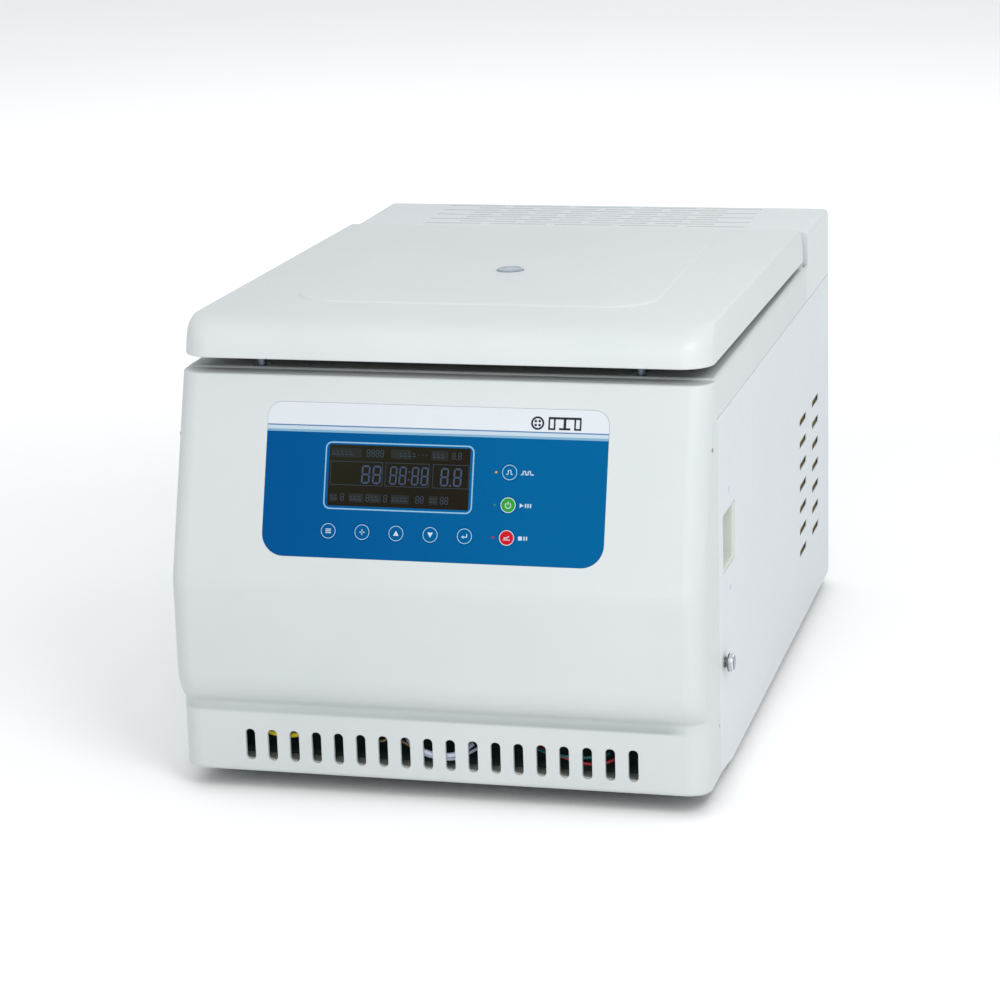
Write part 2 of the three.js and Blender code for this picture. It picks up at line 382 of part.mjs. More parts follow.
// ---------------------------------------------------------------- drive and rotor
add('motor_frame', cut(join(
  box(-140, 140, AXIS_Y - 140, AXIS_Y + 140, 122, 127),
  ...[[-1, -1], [1, -1], [-1, 1], [1, 1]].map(([a, b]) => box(a * 122 - 9, a * 122 + 9, AXIS_Y + b * 122 - 9, AXIS_Y + b * 122 + 9, PANEL_LOW + 3.8, 124))),
  cylZ(34, 0, AXIS_Y, 110, 140, 24)), 0x8a8d90, 0.5, 0.7);
add('motor', latheZ([[0, 12], [58, 12], [66, 20], [66, 112], [58, 121.6], [30, 121.6], [30, 134], [12, 134], [12, 126], [0, 126]], 20).translate(0, AXIS_Y, 0), 0x55585b, 0.5, 0.5);
add('motor_damper', latheZ([[38, 127.4], [58, 127.4], [56, 133], [40, 133], [38, 127.4]], 16).translate(0, AXIS_Y, 0), RUBBER, 0.9, 0);
const spin = new THREE.Group();
spin.position.set(0, AXIS_Y, 0);
parts.add(spin);
add('motor_shaft', cylZ(8, 0, 0, 126.4, 276, 20), STEEL, 0.25, 0.9, spin);
const yokeDisc = latheZ([[8.4, PIVOT_Z - 16], [26, PIVOT_Z - 16], [30, PIVOT_Z - 9], [112, PIVOT_Z - 9], [114, PIVOT_Z - 7], [114, PIVOT_Z + 7], [112, PIVOT_Z + 9], [30, PIVOT_Z + 9], [24, PIVOT_Z + 22], [8.4, PIVOT_Z + 22], [8.4, PIVOT_Z - 16]], 28);
const notches = [0, 90, 180, 270].flatMap((a) => [
  box(48, 130, -BUCKET_R - 3, BUCKET_R + 3, PIVOT_Z - 30, PIVOT_Z + 40).rotateZ(rad(a)),
  box(PIVOT_R - 5.6, PIVOT_R + 5.6, -47, 47, PIVOT_Z - 3, PIVOT_Z + 40).rotateZ(rad(a)),
  cylY(5.6, PIVOT_R, -47, 47, PIVOT_Z, 14).rotateZ(rad(a))]);
add('rotor_yoke', cut(yokeDisc, ...notches), 0x9aa0a4, 0.35, 0.8, spin);
add('rotor_nut', latheZ([[0, PIVOT_Z + 22.4], [15, PIVOT_Z + 22.4], [15, PIVOT_Z + 34], [10, PIVOT_Z + 38], [0, PIVOT_Z + 38]], 6), 0x303234, 0.4, 0.6, spin);
// buckets: open cups with two trunnions; pivot at the local origin
function bucket() {
  const cup = latheZ([[0, -BUCKET_DOWN], [BUCKET_R - 5, -BUCKET_DOWN], [BUCKET_R - 1.5, -BUCKET_DOWN + 4], [BUCKET_R, -BUCKET_DOWN + 12], [BUCKET_R, BUCKET_UP], [BUCKET_R - 3.5, BUCKET_UP],
    [BUCKET_R - 3.5, -BUCKET_DOWN + 14], [BUCKET_R - 6, -BUCKET_DOWN + 5], [0, -BUCKET_DOWN + 4]], 16);
  return join(cup, cylY(4.8, 0, -45.5, -BUCKET_R + 2, 0, 8), cylY(4.8, 0, BUCKET_R - 2, 45.5, 0, 8));
}
[0, 90, 180, 270].forEach((a, i) => {
  const arm = new THREE.Group();
  arm.rotation.z = rad(a);
  spin.add(arm);
  const m = add(`bucket_${i + 1}`, bucket(), 0xa7acb0, 0.3, 0.8, arm);
  m.position.set(PIVOT_R, 0, PIVOT_Z);
});

// ---------------------------------------------------------------- refrigeration and electrics
add('compressor', latheZ([[0, -1], [46, -1], [62, 10], [64, 30], [64, 110], [58, 140], [36, 158], [0, 164]], 20).translate(-125, 636, 0), 0x1c1d1f, 0.45, 0.4);
add('condenser', box(198, 228, 545, 705, 10, 190), 0x3a3d40, 0.5, 0.6);
add('fan_shroud', cut(box(172, 197, 552, 698, 25, 175), cylX(64, 165, 205, 625, 100, 24)), DARK, 0.6, 0);
const fanBlades = [0, 72, 144, 216, 288].map((a) => box(-8, 8, -1.2, 1.2, 14, 60).rotateZ(rad(28)).rotateX(rad(a)));
add('condenser_fan', join(cylX(18, -9, 9, 0, 0, 20), ...fanBlades).translate(185, 625, 100), DARK, 0.5, 0);
add('power_module', box(-190, -70, 45, 135, PANEL_LOW + 3.9, 62), 0x3d4246, 0.5, 0.5);

export default group;
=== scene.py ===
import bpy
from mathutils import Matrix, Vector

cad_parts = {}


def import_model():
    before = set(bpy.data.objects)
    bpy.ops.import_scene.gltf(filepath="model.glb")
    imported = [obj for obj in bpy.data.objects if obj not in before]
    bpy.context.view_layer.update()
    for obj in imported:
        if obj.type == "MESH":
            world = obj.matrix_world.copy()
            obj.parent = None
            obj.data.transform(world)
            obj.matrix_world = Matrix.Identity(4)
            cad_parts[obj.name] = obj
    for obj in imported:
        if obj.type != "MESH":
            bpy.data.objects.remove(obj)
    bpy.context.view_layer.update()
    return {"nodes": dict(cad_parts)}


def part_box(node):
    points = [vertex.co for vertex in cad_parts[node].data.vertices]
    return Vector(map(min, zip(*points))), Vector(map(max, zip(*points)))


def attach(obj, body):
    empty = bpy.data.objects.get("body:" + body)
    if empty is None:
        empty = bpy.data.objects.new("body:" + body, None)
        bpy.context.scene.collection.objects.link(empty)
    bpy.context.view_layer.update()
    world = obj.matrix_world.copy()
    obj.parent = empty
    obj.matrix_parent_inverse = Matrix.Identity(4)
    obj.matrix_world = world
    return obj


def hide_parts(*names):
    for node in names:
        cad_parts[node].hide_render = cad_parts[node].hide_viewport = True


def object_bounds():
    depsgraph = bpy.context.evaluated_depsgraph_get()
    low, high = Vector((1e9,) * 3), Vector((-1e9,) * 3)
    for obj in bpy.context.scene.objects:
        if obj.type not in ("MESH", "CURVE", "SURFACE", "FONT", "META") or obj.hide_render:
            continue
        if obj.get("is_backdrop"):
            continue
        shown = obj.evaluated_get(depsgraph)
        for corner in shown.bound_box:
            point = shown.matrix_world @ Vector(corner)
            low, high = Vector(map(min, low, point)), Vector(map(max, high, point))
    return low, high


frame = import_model()

import math
import random

import bmesh
import bpy
from mathutils import Matrix, Vector
from mathutils.geometry import delaunay_2d_cdt

random.seed(11)
NODES = frame["nodes"]

# Lengths below are millimetres in a working frame: x across the machine, y from the kick plate to the rear,
# z from the lower edge of the front moulding. W() takes them to the model's frame.
FOOT_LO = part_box("foot_front_right")[0][2]
DEPTH = 732.0
Y_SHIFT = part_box("rear_hood")[1][1] * 1000.0 - DEPTH
Z_SHIFT = 19.5 + FOOT_LO * 1000.0


def W(p):
    return (p[0] / 1000.0, (p[1] + Y_SHIFT) / 1000.0, (p[2] + Z_SHIFT) / 1000.0)


rad = math.radians
cos, sin = math.cos, math.sin


# ------------------------------------------------------------------ outlines
def rr(x0, x1, y0, y1, r, seg=8):
    r = list(r) if isinstance(r, (list, tuple)) else [r] * 4
    cs = [(x0 + r[0], y0 + r[0], 180), (x1 - r[1], y0 + r[1], 270), (x1 - r[2], y1 - r[2], 0), (x0 + r[3], y1 - r[3], 90)]
    out = []
    for k, (cx, cy, a0) in enumerate(cs):
        if r[k] < 1e-6:
            out.append((cx, cy))
            continue
        for i in range(seg + 1):
            a = rad(a0 + 90.0 * i / seg)
            out.append((cx + r[k] * cos(a), cy + r[k] * sin(a)))
    return out


def circle(cx, cy, r, n=48):
    return [(cx + r * cos(2 * math.pi * i / n), cy + r * sin(2 * math.pi * i / n)) for i in range(n)]


def offset(P, d):
    n, out = len(P), []
    for i in range(n):
        ax, ay = P[i - 1]
        bx, by = P[i]
        cx, cy = P[(i + 1) % n]
        l1, l2 = math.hypot(bx - ax, by - ay), math.hypot(cx - bx, cy - by)
        n1 = ((by - ay) / l1, -(bx - ax) / l1)
        n2 = ((cy - by) / l2, -(cx - bx) / l2)
        k = 1 + n1[0] * n2[0] + n1[1] * n2[1]
        out.append((bx + d * (n1[0] + n2[0]) / k, by + d * (n1[1] + n2[1]) / k))
    return out


def inside(p, P):
    x, y = p
    c = False
    for i in range(len(P)):
        x1, y1 = P[i - 1]
        x2, y2 = P[i]
        if (y1 > y) != (y2 > y) and x < (x2 - x1) * (y - y1) / (y2 - y1) + x1:
            c = not c
    return c


def fillet(pts, radii, seg=4, closed=False):
    n, out = len(pts), []
    for i in range(n):
        r = radii[i] if isinstance(radii, (list, tuple)) else radii
        p1 = Vector(pts[i])
        if r <= 0 or (not closed and i in (0, n - 1)):
            out.append(tuple(p1))
            continue
        v1, v2 = Vector(pts[i - 1]) - p1, Vector(pts[(i + 1) % n]) - p1
        l1, l2 = v1.length, v2.length
        v1, v2 = v1 / l1, v2 / l2
        ang = math.acos(max(-1, min(1, v1.dot(v2))))
        if ang > math.pi - 0.02 or ang < 0.02:
            out.append(tuple(p1))
            continue
        d = min(r / math.tan(ang / 2), 0.49 * l1, 0.49 * l2)
        r = d * math.tan(ang / 2)
        c = p1 + (v1 + v2).normalized() * (r / sin(ang / 2))
        a, b = p1 + v1 * d - c, p1 + v2 * d - c
        w = math.acos(max(-1, min(1, a.dot(b) / a.length / b.length)))
        for k in range(seg + 1):
            t = k / seg
            q = c + (a * sin((1 - t) * w) + b * sin(t * w)) / sin(w)
            out.append(tuple(q))
    return out


def spline(pts, sub=5):
    """Catmull-Rom through rows of numbers."""
    out = []
    for i in range(len(pts) - 1):
        p0, p1, p2, p3 = pts[max(i - 1, 0)], pts[i], pts[i + 1], pts[min(i + 2, len(pts) - 1)]
        for k in range(sub):
            t = k / sub
            out.append(tuple(0.5 * (2 * b + (c - a) * t + (2 * a - 5 * b + 4 * c - d) * t * t + (3 * b - a - 3 * c + d) * t ** 3)
                             for a, b, c, d in zip(p0, p1, p2, p3)))
    out.append(tuple(pts[-1]))
    return out


# ------------------------------------------------------------------ skins: an outer face with its matching inner face
class Skin:
    def __init__(self):
        self.P, self.Q, self.key, self.F, self.M = [], [], {}, [], []

    def v(self, p, q):
        k = tuple(int(round(c * 1000 + 0.1237)) for c in p)
        if k not in self.key:
            self.key[k] = len(self.P)
            self.P.append(tuple(p))
            self.Q.append(tuple(q))
        return self.key[k]

    def face(self, ids, m=0):
        out = []
        for i in ids:
            if i not in out:
                out.append(i)
        if len(out) >= 3:
            self.F.append(out)
            self.M.append(m)

    def grid(self, P, Q, skip=None, m=0, closed=False):
        R, C = len(P), len(P[0])
        ids = [[self.v(P[i][j], Q[i][j]) for j in range(C)] for i in range(R)]
        for i in range(R - 1):
            for j in range(C if closed else C - 1):
                if skip and skip(i, j):
                    continue
                k = (j + 1) % C
                self.face([ids[i][j], ids[i][k], ids[i + 1][k], ids[i + 1][j]], m)
        return ids

    def cap(self, border, holes, fo, fi, m=0, lines=()):
        pts, edges = [], []
        for loop in [border] + list(holes):
            n0 = len(pts)
            pts += list(loop)
            edges += [(n0 + i, n0 + (i + 1) % len(loop)) for i in range(len(loop))]
        for line in lines:
            n0 = len(pts)
            pts += list(line)
            edges += [(n0 + i, n0 + i + 1) for i in range(len(line) - 1)]
        vc, _, fc, ov, _, _ = delaunay_2d_cdt([Vector(p[:2]) for p in pts], edges, [], 0, 1e-4)
        co = [tuple(pts[ov[i][0]][:2]) if ov[i] else tuple(vc[i]) for i in range(len(vc))]
        for f in fc:
            c = (sum(co[i][0] for i in f) / len(f), sum(co[i][1] for i in f) / len(f))
            if not inside(c, border) or any(inside(c, h) for h in holes):
                continue
            self.face([self.v(fo(*co[i]), fi(*co[i])) for i in f], m(c) if callable(m) else m)

    def rim(self, outline, sign, e, seg, fo, fi, m=0, e2=None):
        """Rounded edge round an outline: sign -1 for an outer edge, +1 for a hole."""
        rows, inner = [], []
        for k in range(seg + 1):
            a = rad(90.0 * k / seg)
            loop = offset(outline, sign * e * (1 - sin(a))) if k < seg else outline
            rows.append([fo(u, v, (e2 or e) * (1 - cos(a))) for u, v in loop])
            inner.append([fi(u, v) for u, v in loop])
        self.grid(rows, inner, m=m, closed=True)

    def shell(self):
        n = len(self.P)
        count = {}
        for f in self.F:
            for i in range(len(f)):
                a, b = f[i], f[(i + 1) % len(f)]
                count[(min(a, b), max(a, b))] = count.get((min(a, b), max(a, b)), 0) + 1
        faces = list(self.F) + [[n + i for i in reversed(f)] for f in self.F]
        mats = self.M + self.M
        for f, m in zip(self.F, self.M):
            for i in range(len(f)):
                a, b = f[i], f[(i + 1) % len(f)]
                if count[(min(a, b), max(a, b))] == 1:
                    faces.append([b, a, n + a, n + b])
                    mats.append(m)
        return self.P + self.Q, faces, mats


def plate(outline, holes, fo, t, e, seg=3, m=0, lines=(), eh=None):
    """A plate with rounded front edges: fo(u, v, depth) places it, t is its thickness."""
    S = Skin()
    eh = e if eh is None else eh
    fi = lambda u, v: fo(u, v, t)
    S.cap(offset(outline, -e), [offset(h, eh) for h in holes], lambda u, v: fo(u, v, 0), fi, m, lines)
    S.rim(outline, -1, e, seg, fo, fi, m=m if not callable(m) else 0)
    for h in holes:
        S.rim(h, 1, eh, seg, fo, fi, m=m if not callable(m) else 0)
    return S.shell()


def merge(*parts):
    V, F, M = [], [], []
    for part in parts:
        v, f = part[0], part[1]
        m = part[2] if len(part) > 2 else [0] * len(f)
        n = len(V)
        V += list(v)
        F += [[n + i for i in g] for g in f]
        M += list(m)
    return V, F, M


def lathe(prof, n, place, m=0):
    """Profile (radius, height): it starts and ends on the axis, or it is a closed loop."""
    closed = not (prof[0][0] < 1e-6 and prof[-1][0] < 1e-6)
    V, ring = [], []
    for r, h in prof:
        if r < 1e-6:
            V.append(place(0, 0, h))
            ring.append([len(V) - 1] * n)
        else:
            ring.append(list(range(len(V), len(V) + n)))
            V += [place(r * cos(2 * math.pi * i / n), r * sin(2 * math.pi * i / n), h) for i in range(n)]
    F = []
    K = len(prof)
    for k in range(K if closed else K - 1):
        a, b = ring[k], ring[(k + 1) % K]
        for i in range(n):
            j = (i + 1) % n
            f = []
            for q in (a[i], a[j], b[j], b[i]):
                if q not in f:
                    f.append(q)
            if len(f) > 2:
                F.append(f)
    return V, F, [m] * len(F)


def prism(outline, place, h0, h1, m=0, e=0.0, seg=2):
    """Closed prism with rounded edges at both ends."""
    rows = []
    for k in range(seg + 1 if e else 1):
        a = rad(90.0 * k / seg) if e else 0
        rows.append((offset(outline, -e * (1 - sin(a))) if e else outline, h0 + (e * (1 - cos(a)) if e else 0)))
    for k in range(seg, -1, -1) if e else [0]:
        a = rad(90.0 * k / seg) if e else 0
        rows.append((offset(outline, -e * (1 - sin(a))) if e else outline, h1 - (e * (1 - cos(a)) if e else 0)))
    n = len(outline)
    V = [place(u, v, h) for loop, h in rows for u, v in loop]
    F = [list(range(n))[::-1], list(range((len(rows) - 1) * n, len(rows) * n))]
    for k in range(len(rows) - 1):
        F += [[k * n + i, k * n + (i + 1) % n, (k + 1) * n + (i + 1) % n, (k + 1) * n + i] for i in range(n)]
    return V, F, [m] * len(F)


def tube(path, r, n=10, m=0, r_at=None):
    pts = [Vector(p) for p in path]
    V, F = [], []
    t0 = (pts[1] - pts[0]).normalized()
    up = Vector((0, 0, 1)) if abs(t0.z) < 0.9 else Vector((1, 0, 0))
    nrm = (up - t0 * up.dot(t0)).normalized()
    for i, p in enumerate(pts):
        t = (pts[min(i + 1, len(pts) - 1)] - pts[max(i - 1, 0)]).normalized()
        nrm = (nrm - t * nrm.dot(t)).normalized()
        b = t.cross(nrm)
        rr_ = r_at(i / (len(pts) - 1)) if r_at else r
        V += [tuple(p + (nrm * cos(2 * math.pi * k / n) + b * sin(2 * math.pi * k / n)) * rr_) for k in range(n)]
    for i in range(len(pts) - 1):
        F += [[i * n + k, i * n + (k + 1) % n, (i + 1) * n + (k + 1) % n, (i + 1) * n + k] for k in range(n)]
    F.append(list(range(n))[::-1])
    F.append(list(range((len(pts) - 1) * n, len(pts) * n)))
    return V, F, [m] * len(F)


def boxp(x0, x1, y0, y1, z0, z1, e=0.6, m=0, seg=2):
    return prism(rr(x0, x1, y0, y1, max(e, 0.01), 3), lambda u, v, h: (u, v, h), z0, z1, m, e, seg)


# ------------------------------------------------------------------ making a piece
def make(name, geo, mats, body, rep=(), sharp=35, place=W, weighted=True):
    V, F = geo[0], geo[1]
    M = geo[2] if len(geo) > 2 else [0] * len(F)
    me = bpy.data.meshes.new(name)
    me.from_pydata([place(v) for v in V], [], F)
    for mt in mats if isinstance(mats, (list, tuple)) else [mats]:
        me.materials.append(mt)
    for p, m in zip(me.polygons, M):
        p.material_index = m
    o = bpy.data.objects.new(name, me)
    bpy.context.scene.collection.objects.link(o)
    tidy(o, sharp, weighted)
    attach(o, body)
    if rep:
        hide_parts(*rep)
    return o


def tidy(o, sharp=35, weighted=True, normals=True):
    me = o.data
    bm = bmesh.new()
    bm.from_mesh(me)
    bmesh.ops.remove_doubles(bm, verts=bm.verts, dist=2e-7)
    if normals:
        bmesh.ops.recalc_face_normals(bm, faces=bm.faces)
    bm.to_mesh(me)
    bm.free()
    me.polygons.foreach_set("use_smooth", [True] * len(me.polygons))
    me.set_sharp_from_angle(angle=rad(sharp))
    if weighted:
        w = o.modifiers.new("normals", "WEIGHTED_NORMAL")
        w.mode = "FACE_AREA"
        w.weight = 50
        w.keep_sharp = True


def boolean(geo, cutters, place=W, bevel=0.0, op="DIFFERENCE"):
    """geo cut by (or joined with) closed meshes; returns verts in the model's frame and faces."""
    def obj(g):
        me = bpy.data.meshes.new("tmp")
        me.from_pydata([tuple(c * 1000 for c in place(v)) for v in g[0]], [], g[1])
        o = bpy.data.objects.new("tmp", me)
        bpy.context.scene.collection.objects.link(o)
        bm = bmesh.new()
        bm.from_mesh(me)
        bmesh.ops.recalc_face_normals(bm, faces=bm.faces)
        bm.to_mesh(me)
        bm.free()
        return o
    base = obj(geo)
    cut = [obj(c) for c in cutters]
    for c in cut:
        b = base.modifiers.new("b", "BOOLEAN")
        b.operation, b.solver, b.object = op, "EXACT", c
    if bevel:
        b = base.modifiers.new("bev", "BEVEL")
        b.width, b.segments, b.limit_method, b.angle_limit = bevel, 2, "ANGLE", rad(40)
        b.use_clamp_overlap = True
    dg = bpy.context.evaluated_depsgraph_get()
    me = bpy.data.meshes.new_from_object(base.evaluated_get(dg))
    V = [tuple(c / 1000 for c in v.co) for v in me.vertices]
    F = [list(p.vertices) for p in me.polygons]
    for o in [base] + cut:
        bpy.data.objects.remove(o, do_unlink=True)
    bpy.data.meshes.remove(me)
    return V, F, [0] * len(F)


SAME = lambda v: v


# ------------------------------------------------------------------ materials
def base(name):
    m = bpy.data.materials.new(name)
    m.use_nodes = True
    t = m.node_tree
    t.nodes.clear()
    out = t.nodes.new("ShaderNodeOutputMaterial")
    b = t.nodes.new("ShaderNodeBsdfPrincipled")
    t.links.new(b.outputs[0], out.inputs[0])
    tc = t.nodes.new("ShaderNodeTexCoord")
    return m, t, b, tc.outputs["Object"]


def lin(c):
    return tuple(((v / 255) / 12.92 if v / 255 <= 0.04045 else ((v / 255 + 0.055) / 1.055) ** 2.4) for v in c) + (1.0,)


def noise(t, vec, scale, detail=3.0, rough=0.5, stretch=None):
    if stretch:
        mp = t.nodes.new("ShaderNodeMapping")
        mp.inputs["Scale"].default_value = stretch
        t.links.new(vec, mp.inputs["Vector"])
        vec = mp.outputs[0]
    n = t.nodes.new("ShaderNodeTexNoise")
    n.inputs["Scale"].default_value = scale
    n.inputs["Detail"].default_value = detail
    n.inputs["Roughness"].default_value = rough
    t.links.new(vec, n.inputs["Vector"])
    return n.outputs["Fac"]


def ramp(t, fac, stops):
    r = t.nodes.new("ShaderNodeValToRGB")
    while len(r.color_ramp.elements) < len(stops):
        r.color_ramp.elements.new(0.5)
    for e, (p, c) in zip(r.color_ramp.elements, stops):
        e.position, e.color = p, c
    t.links.new(fac, r.inputs[0])
    return r.outputs[0]


def span(t, fac, a, b, lo=0.3, hi=0.7):
    r = t.nodes.new("ShaderNodeMapRange")
    r.inputs[1].default_value, r.inputs[2].default_value = lo, hi
    r.inputs[3].default_value, r.inputs[4].default_value = a, b
    t.links.new(fac, r.inputs[0])
    return r.outputs[0]


def mixc(t, fac, a, b, mode="MIX"):
    n = t.nodes.new("ShaderNodeMix")
    n.data_type, n.blend_type = "RGBA", mode
    ins = [s for s in n.inputs if s.enabled] if False else None
    for s, val in ((n.inputs[0], fac), (n.inputs[6], a), (n.inputs[7], b)):
        if isinstance(val, (float, int, tuple)):
            s.default_value = val
        else:
            t.links.new(val, s)
    return n.outputs[2]


def mathn(t, op, a, b=0.0, clamp=False):
    n = t.nodes.new("ShaderNodeMath")
    n.operation, n.use_clamp = op, clamp
    for s, val in ((n.inputs[0], a), (n.inputs[1], b)):
        if isinstance(val, (float, int)):
            s.default_value = val
        else:
            t.links.new(val, s)
    return n.outputs[0]


def bump(t, b, height, dist, strength=1.0):
    n = t.nodes.new("ShaderNodeBump")
    n.inputs["Distance"].default_value = dist
    n.inputs["Strength"].default_value = strength
    t.links.new(height, n.inputs["Height"])
    t.links.new(n.outputs[0], b.inputs["Normal"])


def paint(name, c0, c1, rough=(0.36, 0.5), peel=420, depth=0.00006, coat=0.0, spec=0.45, big=5.0, crease=False):
    """Moulded or painted shell: faint clouding, orange peel, slightly uneven gloss, a few fine scuffs; crease=True
    adds a painted shade band above the kick plate.
    """
    m, t, b, oc = base(name)
    cloud = noise(t, oc, big, 3, 0.55)
    fine = noise(t, oc, 160, 2, 0.5)
    col = ramp(t, cloud, [(0.32, lin(c0)), (0.68, lin(c1))])
    speck = ramp(t, noise(t, oc, 900, 1, 0.5), [(0.74, (1, 1, 1, 1)), (0.8, (0.93, 0.93, 0.92, 1))])
    col = mixc(t, 0.6, col, speck, "MULTIPLY")
    if crease:
        # painted shade above the kick plate, under the overhang of the front: strongest just over the kink, fading
        # upward, stronger towards the right, fading out at the right corner
        sep = t.nodes.new("ShaderNodeSeparateXYZ")
        t.links.new(oc, sep.inputs[0])
        up = span(t, sep.outputs[2], 1.0, 0.0, 0.079, 0.101)
        f = mathn(t, "MULTIPLY", mathn(t, "MULTIPLY", up, up), span(t, sep.outputs[2], 0.0, 1.0, 0.0748, 0.0772))
        f = mathn(t, "MULTIPLY", f, span(t, sep.outputs[1], 1.0, 0.0, -0.357, -0.349))
        f = mathn(t, "MULTIPLY", f, mathn(t, "MULTIPLY", span(t, sep.outputs[0], 0.5, 1.0, -0.2, 0.15), span(t, sep.outputs[0], 1.0, 0.1, 0.205, 0.224)))
        f = mathn(t, "MULTIPLY", f, span(t, noise(t, oc, 9, 3, 0.6), 0.85, 1.0))
        col = mixc(t, f, col, mixc(t, 1.0, col, (0.58, 0.62, 0.60, 1.0), "MULTIPLY"))
    t.links.new(col, b.inputs["Base Color"])
    rg = mathn(t, "ADD", span(t, cloud, rough[0], rough[1]), span(t, fine, -0.02, 0.03))
    scr = noise(t, oc, 26, 5, 0.7, (1.0, 9.0, 1.0))
    rg = mathn(t, "ADD", rg, span(t, scr, 0.0, 0.08, 0.62, 0.75))
    t.links.new(rg, b.inputs["Roughness"])
    h = mathn(t, "ADD", noise(t, oc, peel, 2, 0.5), mathn(t, "MULTIPLY", noise(t, oc, 2400, 2, 0.6), 0.25))
    bump(t, b, h, depth)
    b.inputs["Specular IOR Level"].default_value = spec
    if coat:
        b.inputs["Coat Weight"].default_value = coat
        b.inputs["Coat Roughness"].default_value = 0.12
    return m


def printed(name, c0, c1, rough=0.3, grain=3000, emit=0.0, spec=0.5, far=None):
    """Ink on film: tiny screen grain, a faint uneven gloss."""
    m, t, b, oc = base(name)
    g = noise(t, oc, grain, 1, 0.5)
    cl = noise(t, oc, 14, 3, 0.6)
    col = mixc(t, 0.5, ramp(t, g, [(0.3, lin(c0)), (0.7, lin(c1))]), ramp(t, cl, [(0.3, lin(c0)), (0.7, lin(c1))]))
    if far:
        # the blue turns a little lighter and greener towards +x
        sep = t.nodes.new("ShaderNodeSeparateXYZ")
        t.links.new(oc, sep.inputs[0])
        col = mixc(t, span(t, sep.outputs[0], 0.0, 1.0, -0.15, 0.08), col, ramp(t, g, [(0.3, lin(far[0])), (0.7, lin(far[1]))]))
    t.links.new(col, b.inputs["Base Color"])
    t.links.new(span(t, cl, rough - 0.05, rough + 0.07), b.inputs["Roughness"])
    bump(t, b, noise(t, oc, 700, 2, 0.5), 0.00003)
    b.inputs["Specular IOR Level"].default_value = spec
    if emit:
        t.links.new(col, b.inputs["Emission Color"])
        b.inputs["Emission Strength"].default_value = emit
    return m


def metal(name, c0, c1, rough=(0.2, 0.35), grain=(1.0, 1.0, 1.0), scale=220, depth=0.00002, spots=0.0, metallic=1.0):
    """Brushed or plated metal: grain along one direction, smudges in the gloss."""
    m, t, b, oc = base(name)
    br = noise(t, oc, scale, 4, 0.6, grain)
    sm = noise(t, oc, 22, 4, 0.6)
    col = mixc(t, 0.55, ramp(t, br, [(0.3, lin(c0)), (0.7, lin(c1))]), ramp(t, sm, [(0.3, lin(c0)), (0.7, lin(c1))]))
    if spots:
        sp = ramp(t, noise(t, oc, 130, 4, 0.7), [(0.66, (1, 1, 1, 1)), (0.76, (1 - spots, 1 - spots, 1 - spots, 1))])
        col = mixc(t, 1.0, col, sp, "MULTIPLY")
    t.links.new(col, b.inputs["Base Color"])
    t.links.new(mathn(t, "ADD", span(t, sm, rough[0], rough[1]), span(t, br, -0.03, 0.05)), b.inputs["Roughness"])
    b.inputs["Metallic"].default_value = metallic
    bump(t, b, br, depth)
    return m


def rubber(name, c0, c1, rough=(0.7, 0.9), scale=600, depth=0.00012):
    m, t, b, oc = base(name)
    g = noise(t, oc, scale, 4, 0.6)
    cl = noise(t, oc, 30, 4, 0.6)
    t.links.new(mixc(t, 0.5, ramp(t, g, [(0.3, lin(c0)), (0.7, lin(c1))]), ramp(t, cl, [(0.35, lin(c0)), (0.7, lin(c1))])), b.inputs["Base Color"])
    t.links.new(span(t, cl, rough[0], rough[1]), b.inputs["Roughness"])
    bump(t, b, g, depth)
    b.inputs["Specular IOR Level"].default_value = 0.35
    return m


MAT = {}
MAT["shell"] = paint("shell_moulding", (192, 197, 197), (197, 201, 202))
# the front moulding carries the painted shade band above the kick plate (crease=True)
MAT["front"] = paint("front_moulding_plastic", (192, 197, 197), (197, 201, 202), crease=True)
MAT["lid"] = paint("lid_moulding", (196, 201, 201), (201, 205, 206))
MAT["panel"] = paint("side_panel_paint", (198, 204, 207), (203, 208, 211), peel=300)
MAT["hood"] = paint("hood_paint", (200, 205, 207), (206, 210, 212), peel=340)
MAT["cream"] = paint("grip_plastic", (196, 201, 193), (203, 207, 199), peel=700, rough=(0.42, 0.55))
MAT["inner"] = paint("moulding_inside", (148, 156, 156), (168, 174, 173), rough=(0.5, 0.65))
MAT["blue"] = printed("overlay_blue", (0, 70, 126), (0, 74, 130), 0.5, spec=0.03, far=((0, 84, 134), (0, 88, 138)))
MAT["strip"] = printed("overlay_white", (198, 203, 208), (203, 208, 213), 0.5, spec=0.1)
MAT["band"] = printed("overlay_light_blue", (174, 189, 200), (180, 194, 205), 0.5, spec=0.08)
MAT["band2"] = printed("overlay_mid_blue", (112, 152, 178), (120, 160, 185), 0.5, spec=0.08)
MAT["line"] = printed("overlay_dark_blue", (78, 112, 152), (84, 119, 159), 0.5, spec=0.08)
MAT["ring"] = printed("print_white", (176, 190, 202), (186, 199, 210), 0.5, spec=0.1)
MAT["ringb"] = printed("print_pale_blue", (140, 174, 198), (150, 183, 206), 0.5, spec=0.1)
MAT["ink"] = printed("print_dark", (36, 42, 54), (44, 50, 62), 0.5, spec=0.06)
MAT["green"] = printed("key_green", (36, 128, 40), (48, 146, 48), 0.5, spec=0.08)
MAT["red"] = printed("key_red", (176, 10, 24), (192, 18, 32), 0.5, spec=0.08)
MAT["lcd_line"] = printed("display_rim_print", (122, 166, 196), (132, 175, 204), 0.5, spec=0.08)
MAT["digit"] = printed("display_digit", (54, 68, 90), (62, 77, 99), 0.5, spec=0.04)
MAT["digit_dim"] = printed("display_small_digit", (48, 58, 70), (56, 66, 78), 0.5, spec=0.04)
MAT["digit_box"] = printed("display_label_box", (34, 37, 36), (40, 43, 42), 0.5, spec=0.04)
MAT["led_y"] = printed("indicator_yellow", (178, 152, 70), (192, 166, 80), 0.4, spec=0.1)
MAT["led_g"] = printed("indicator_green", (52, 104, 100), (64, 116, 108), 0.4, spec=0.1)
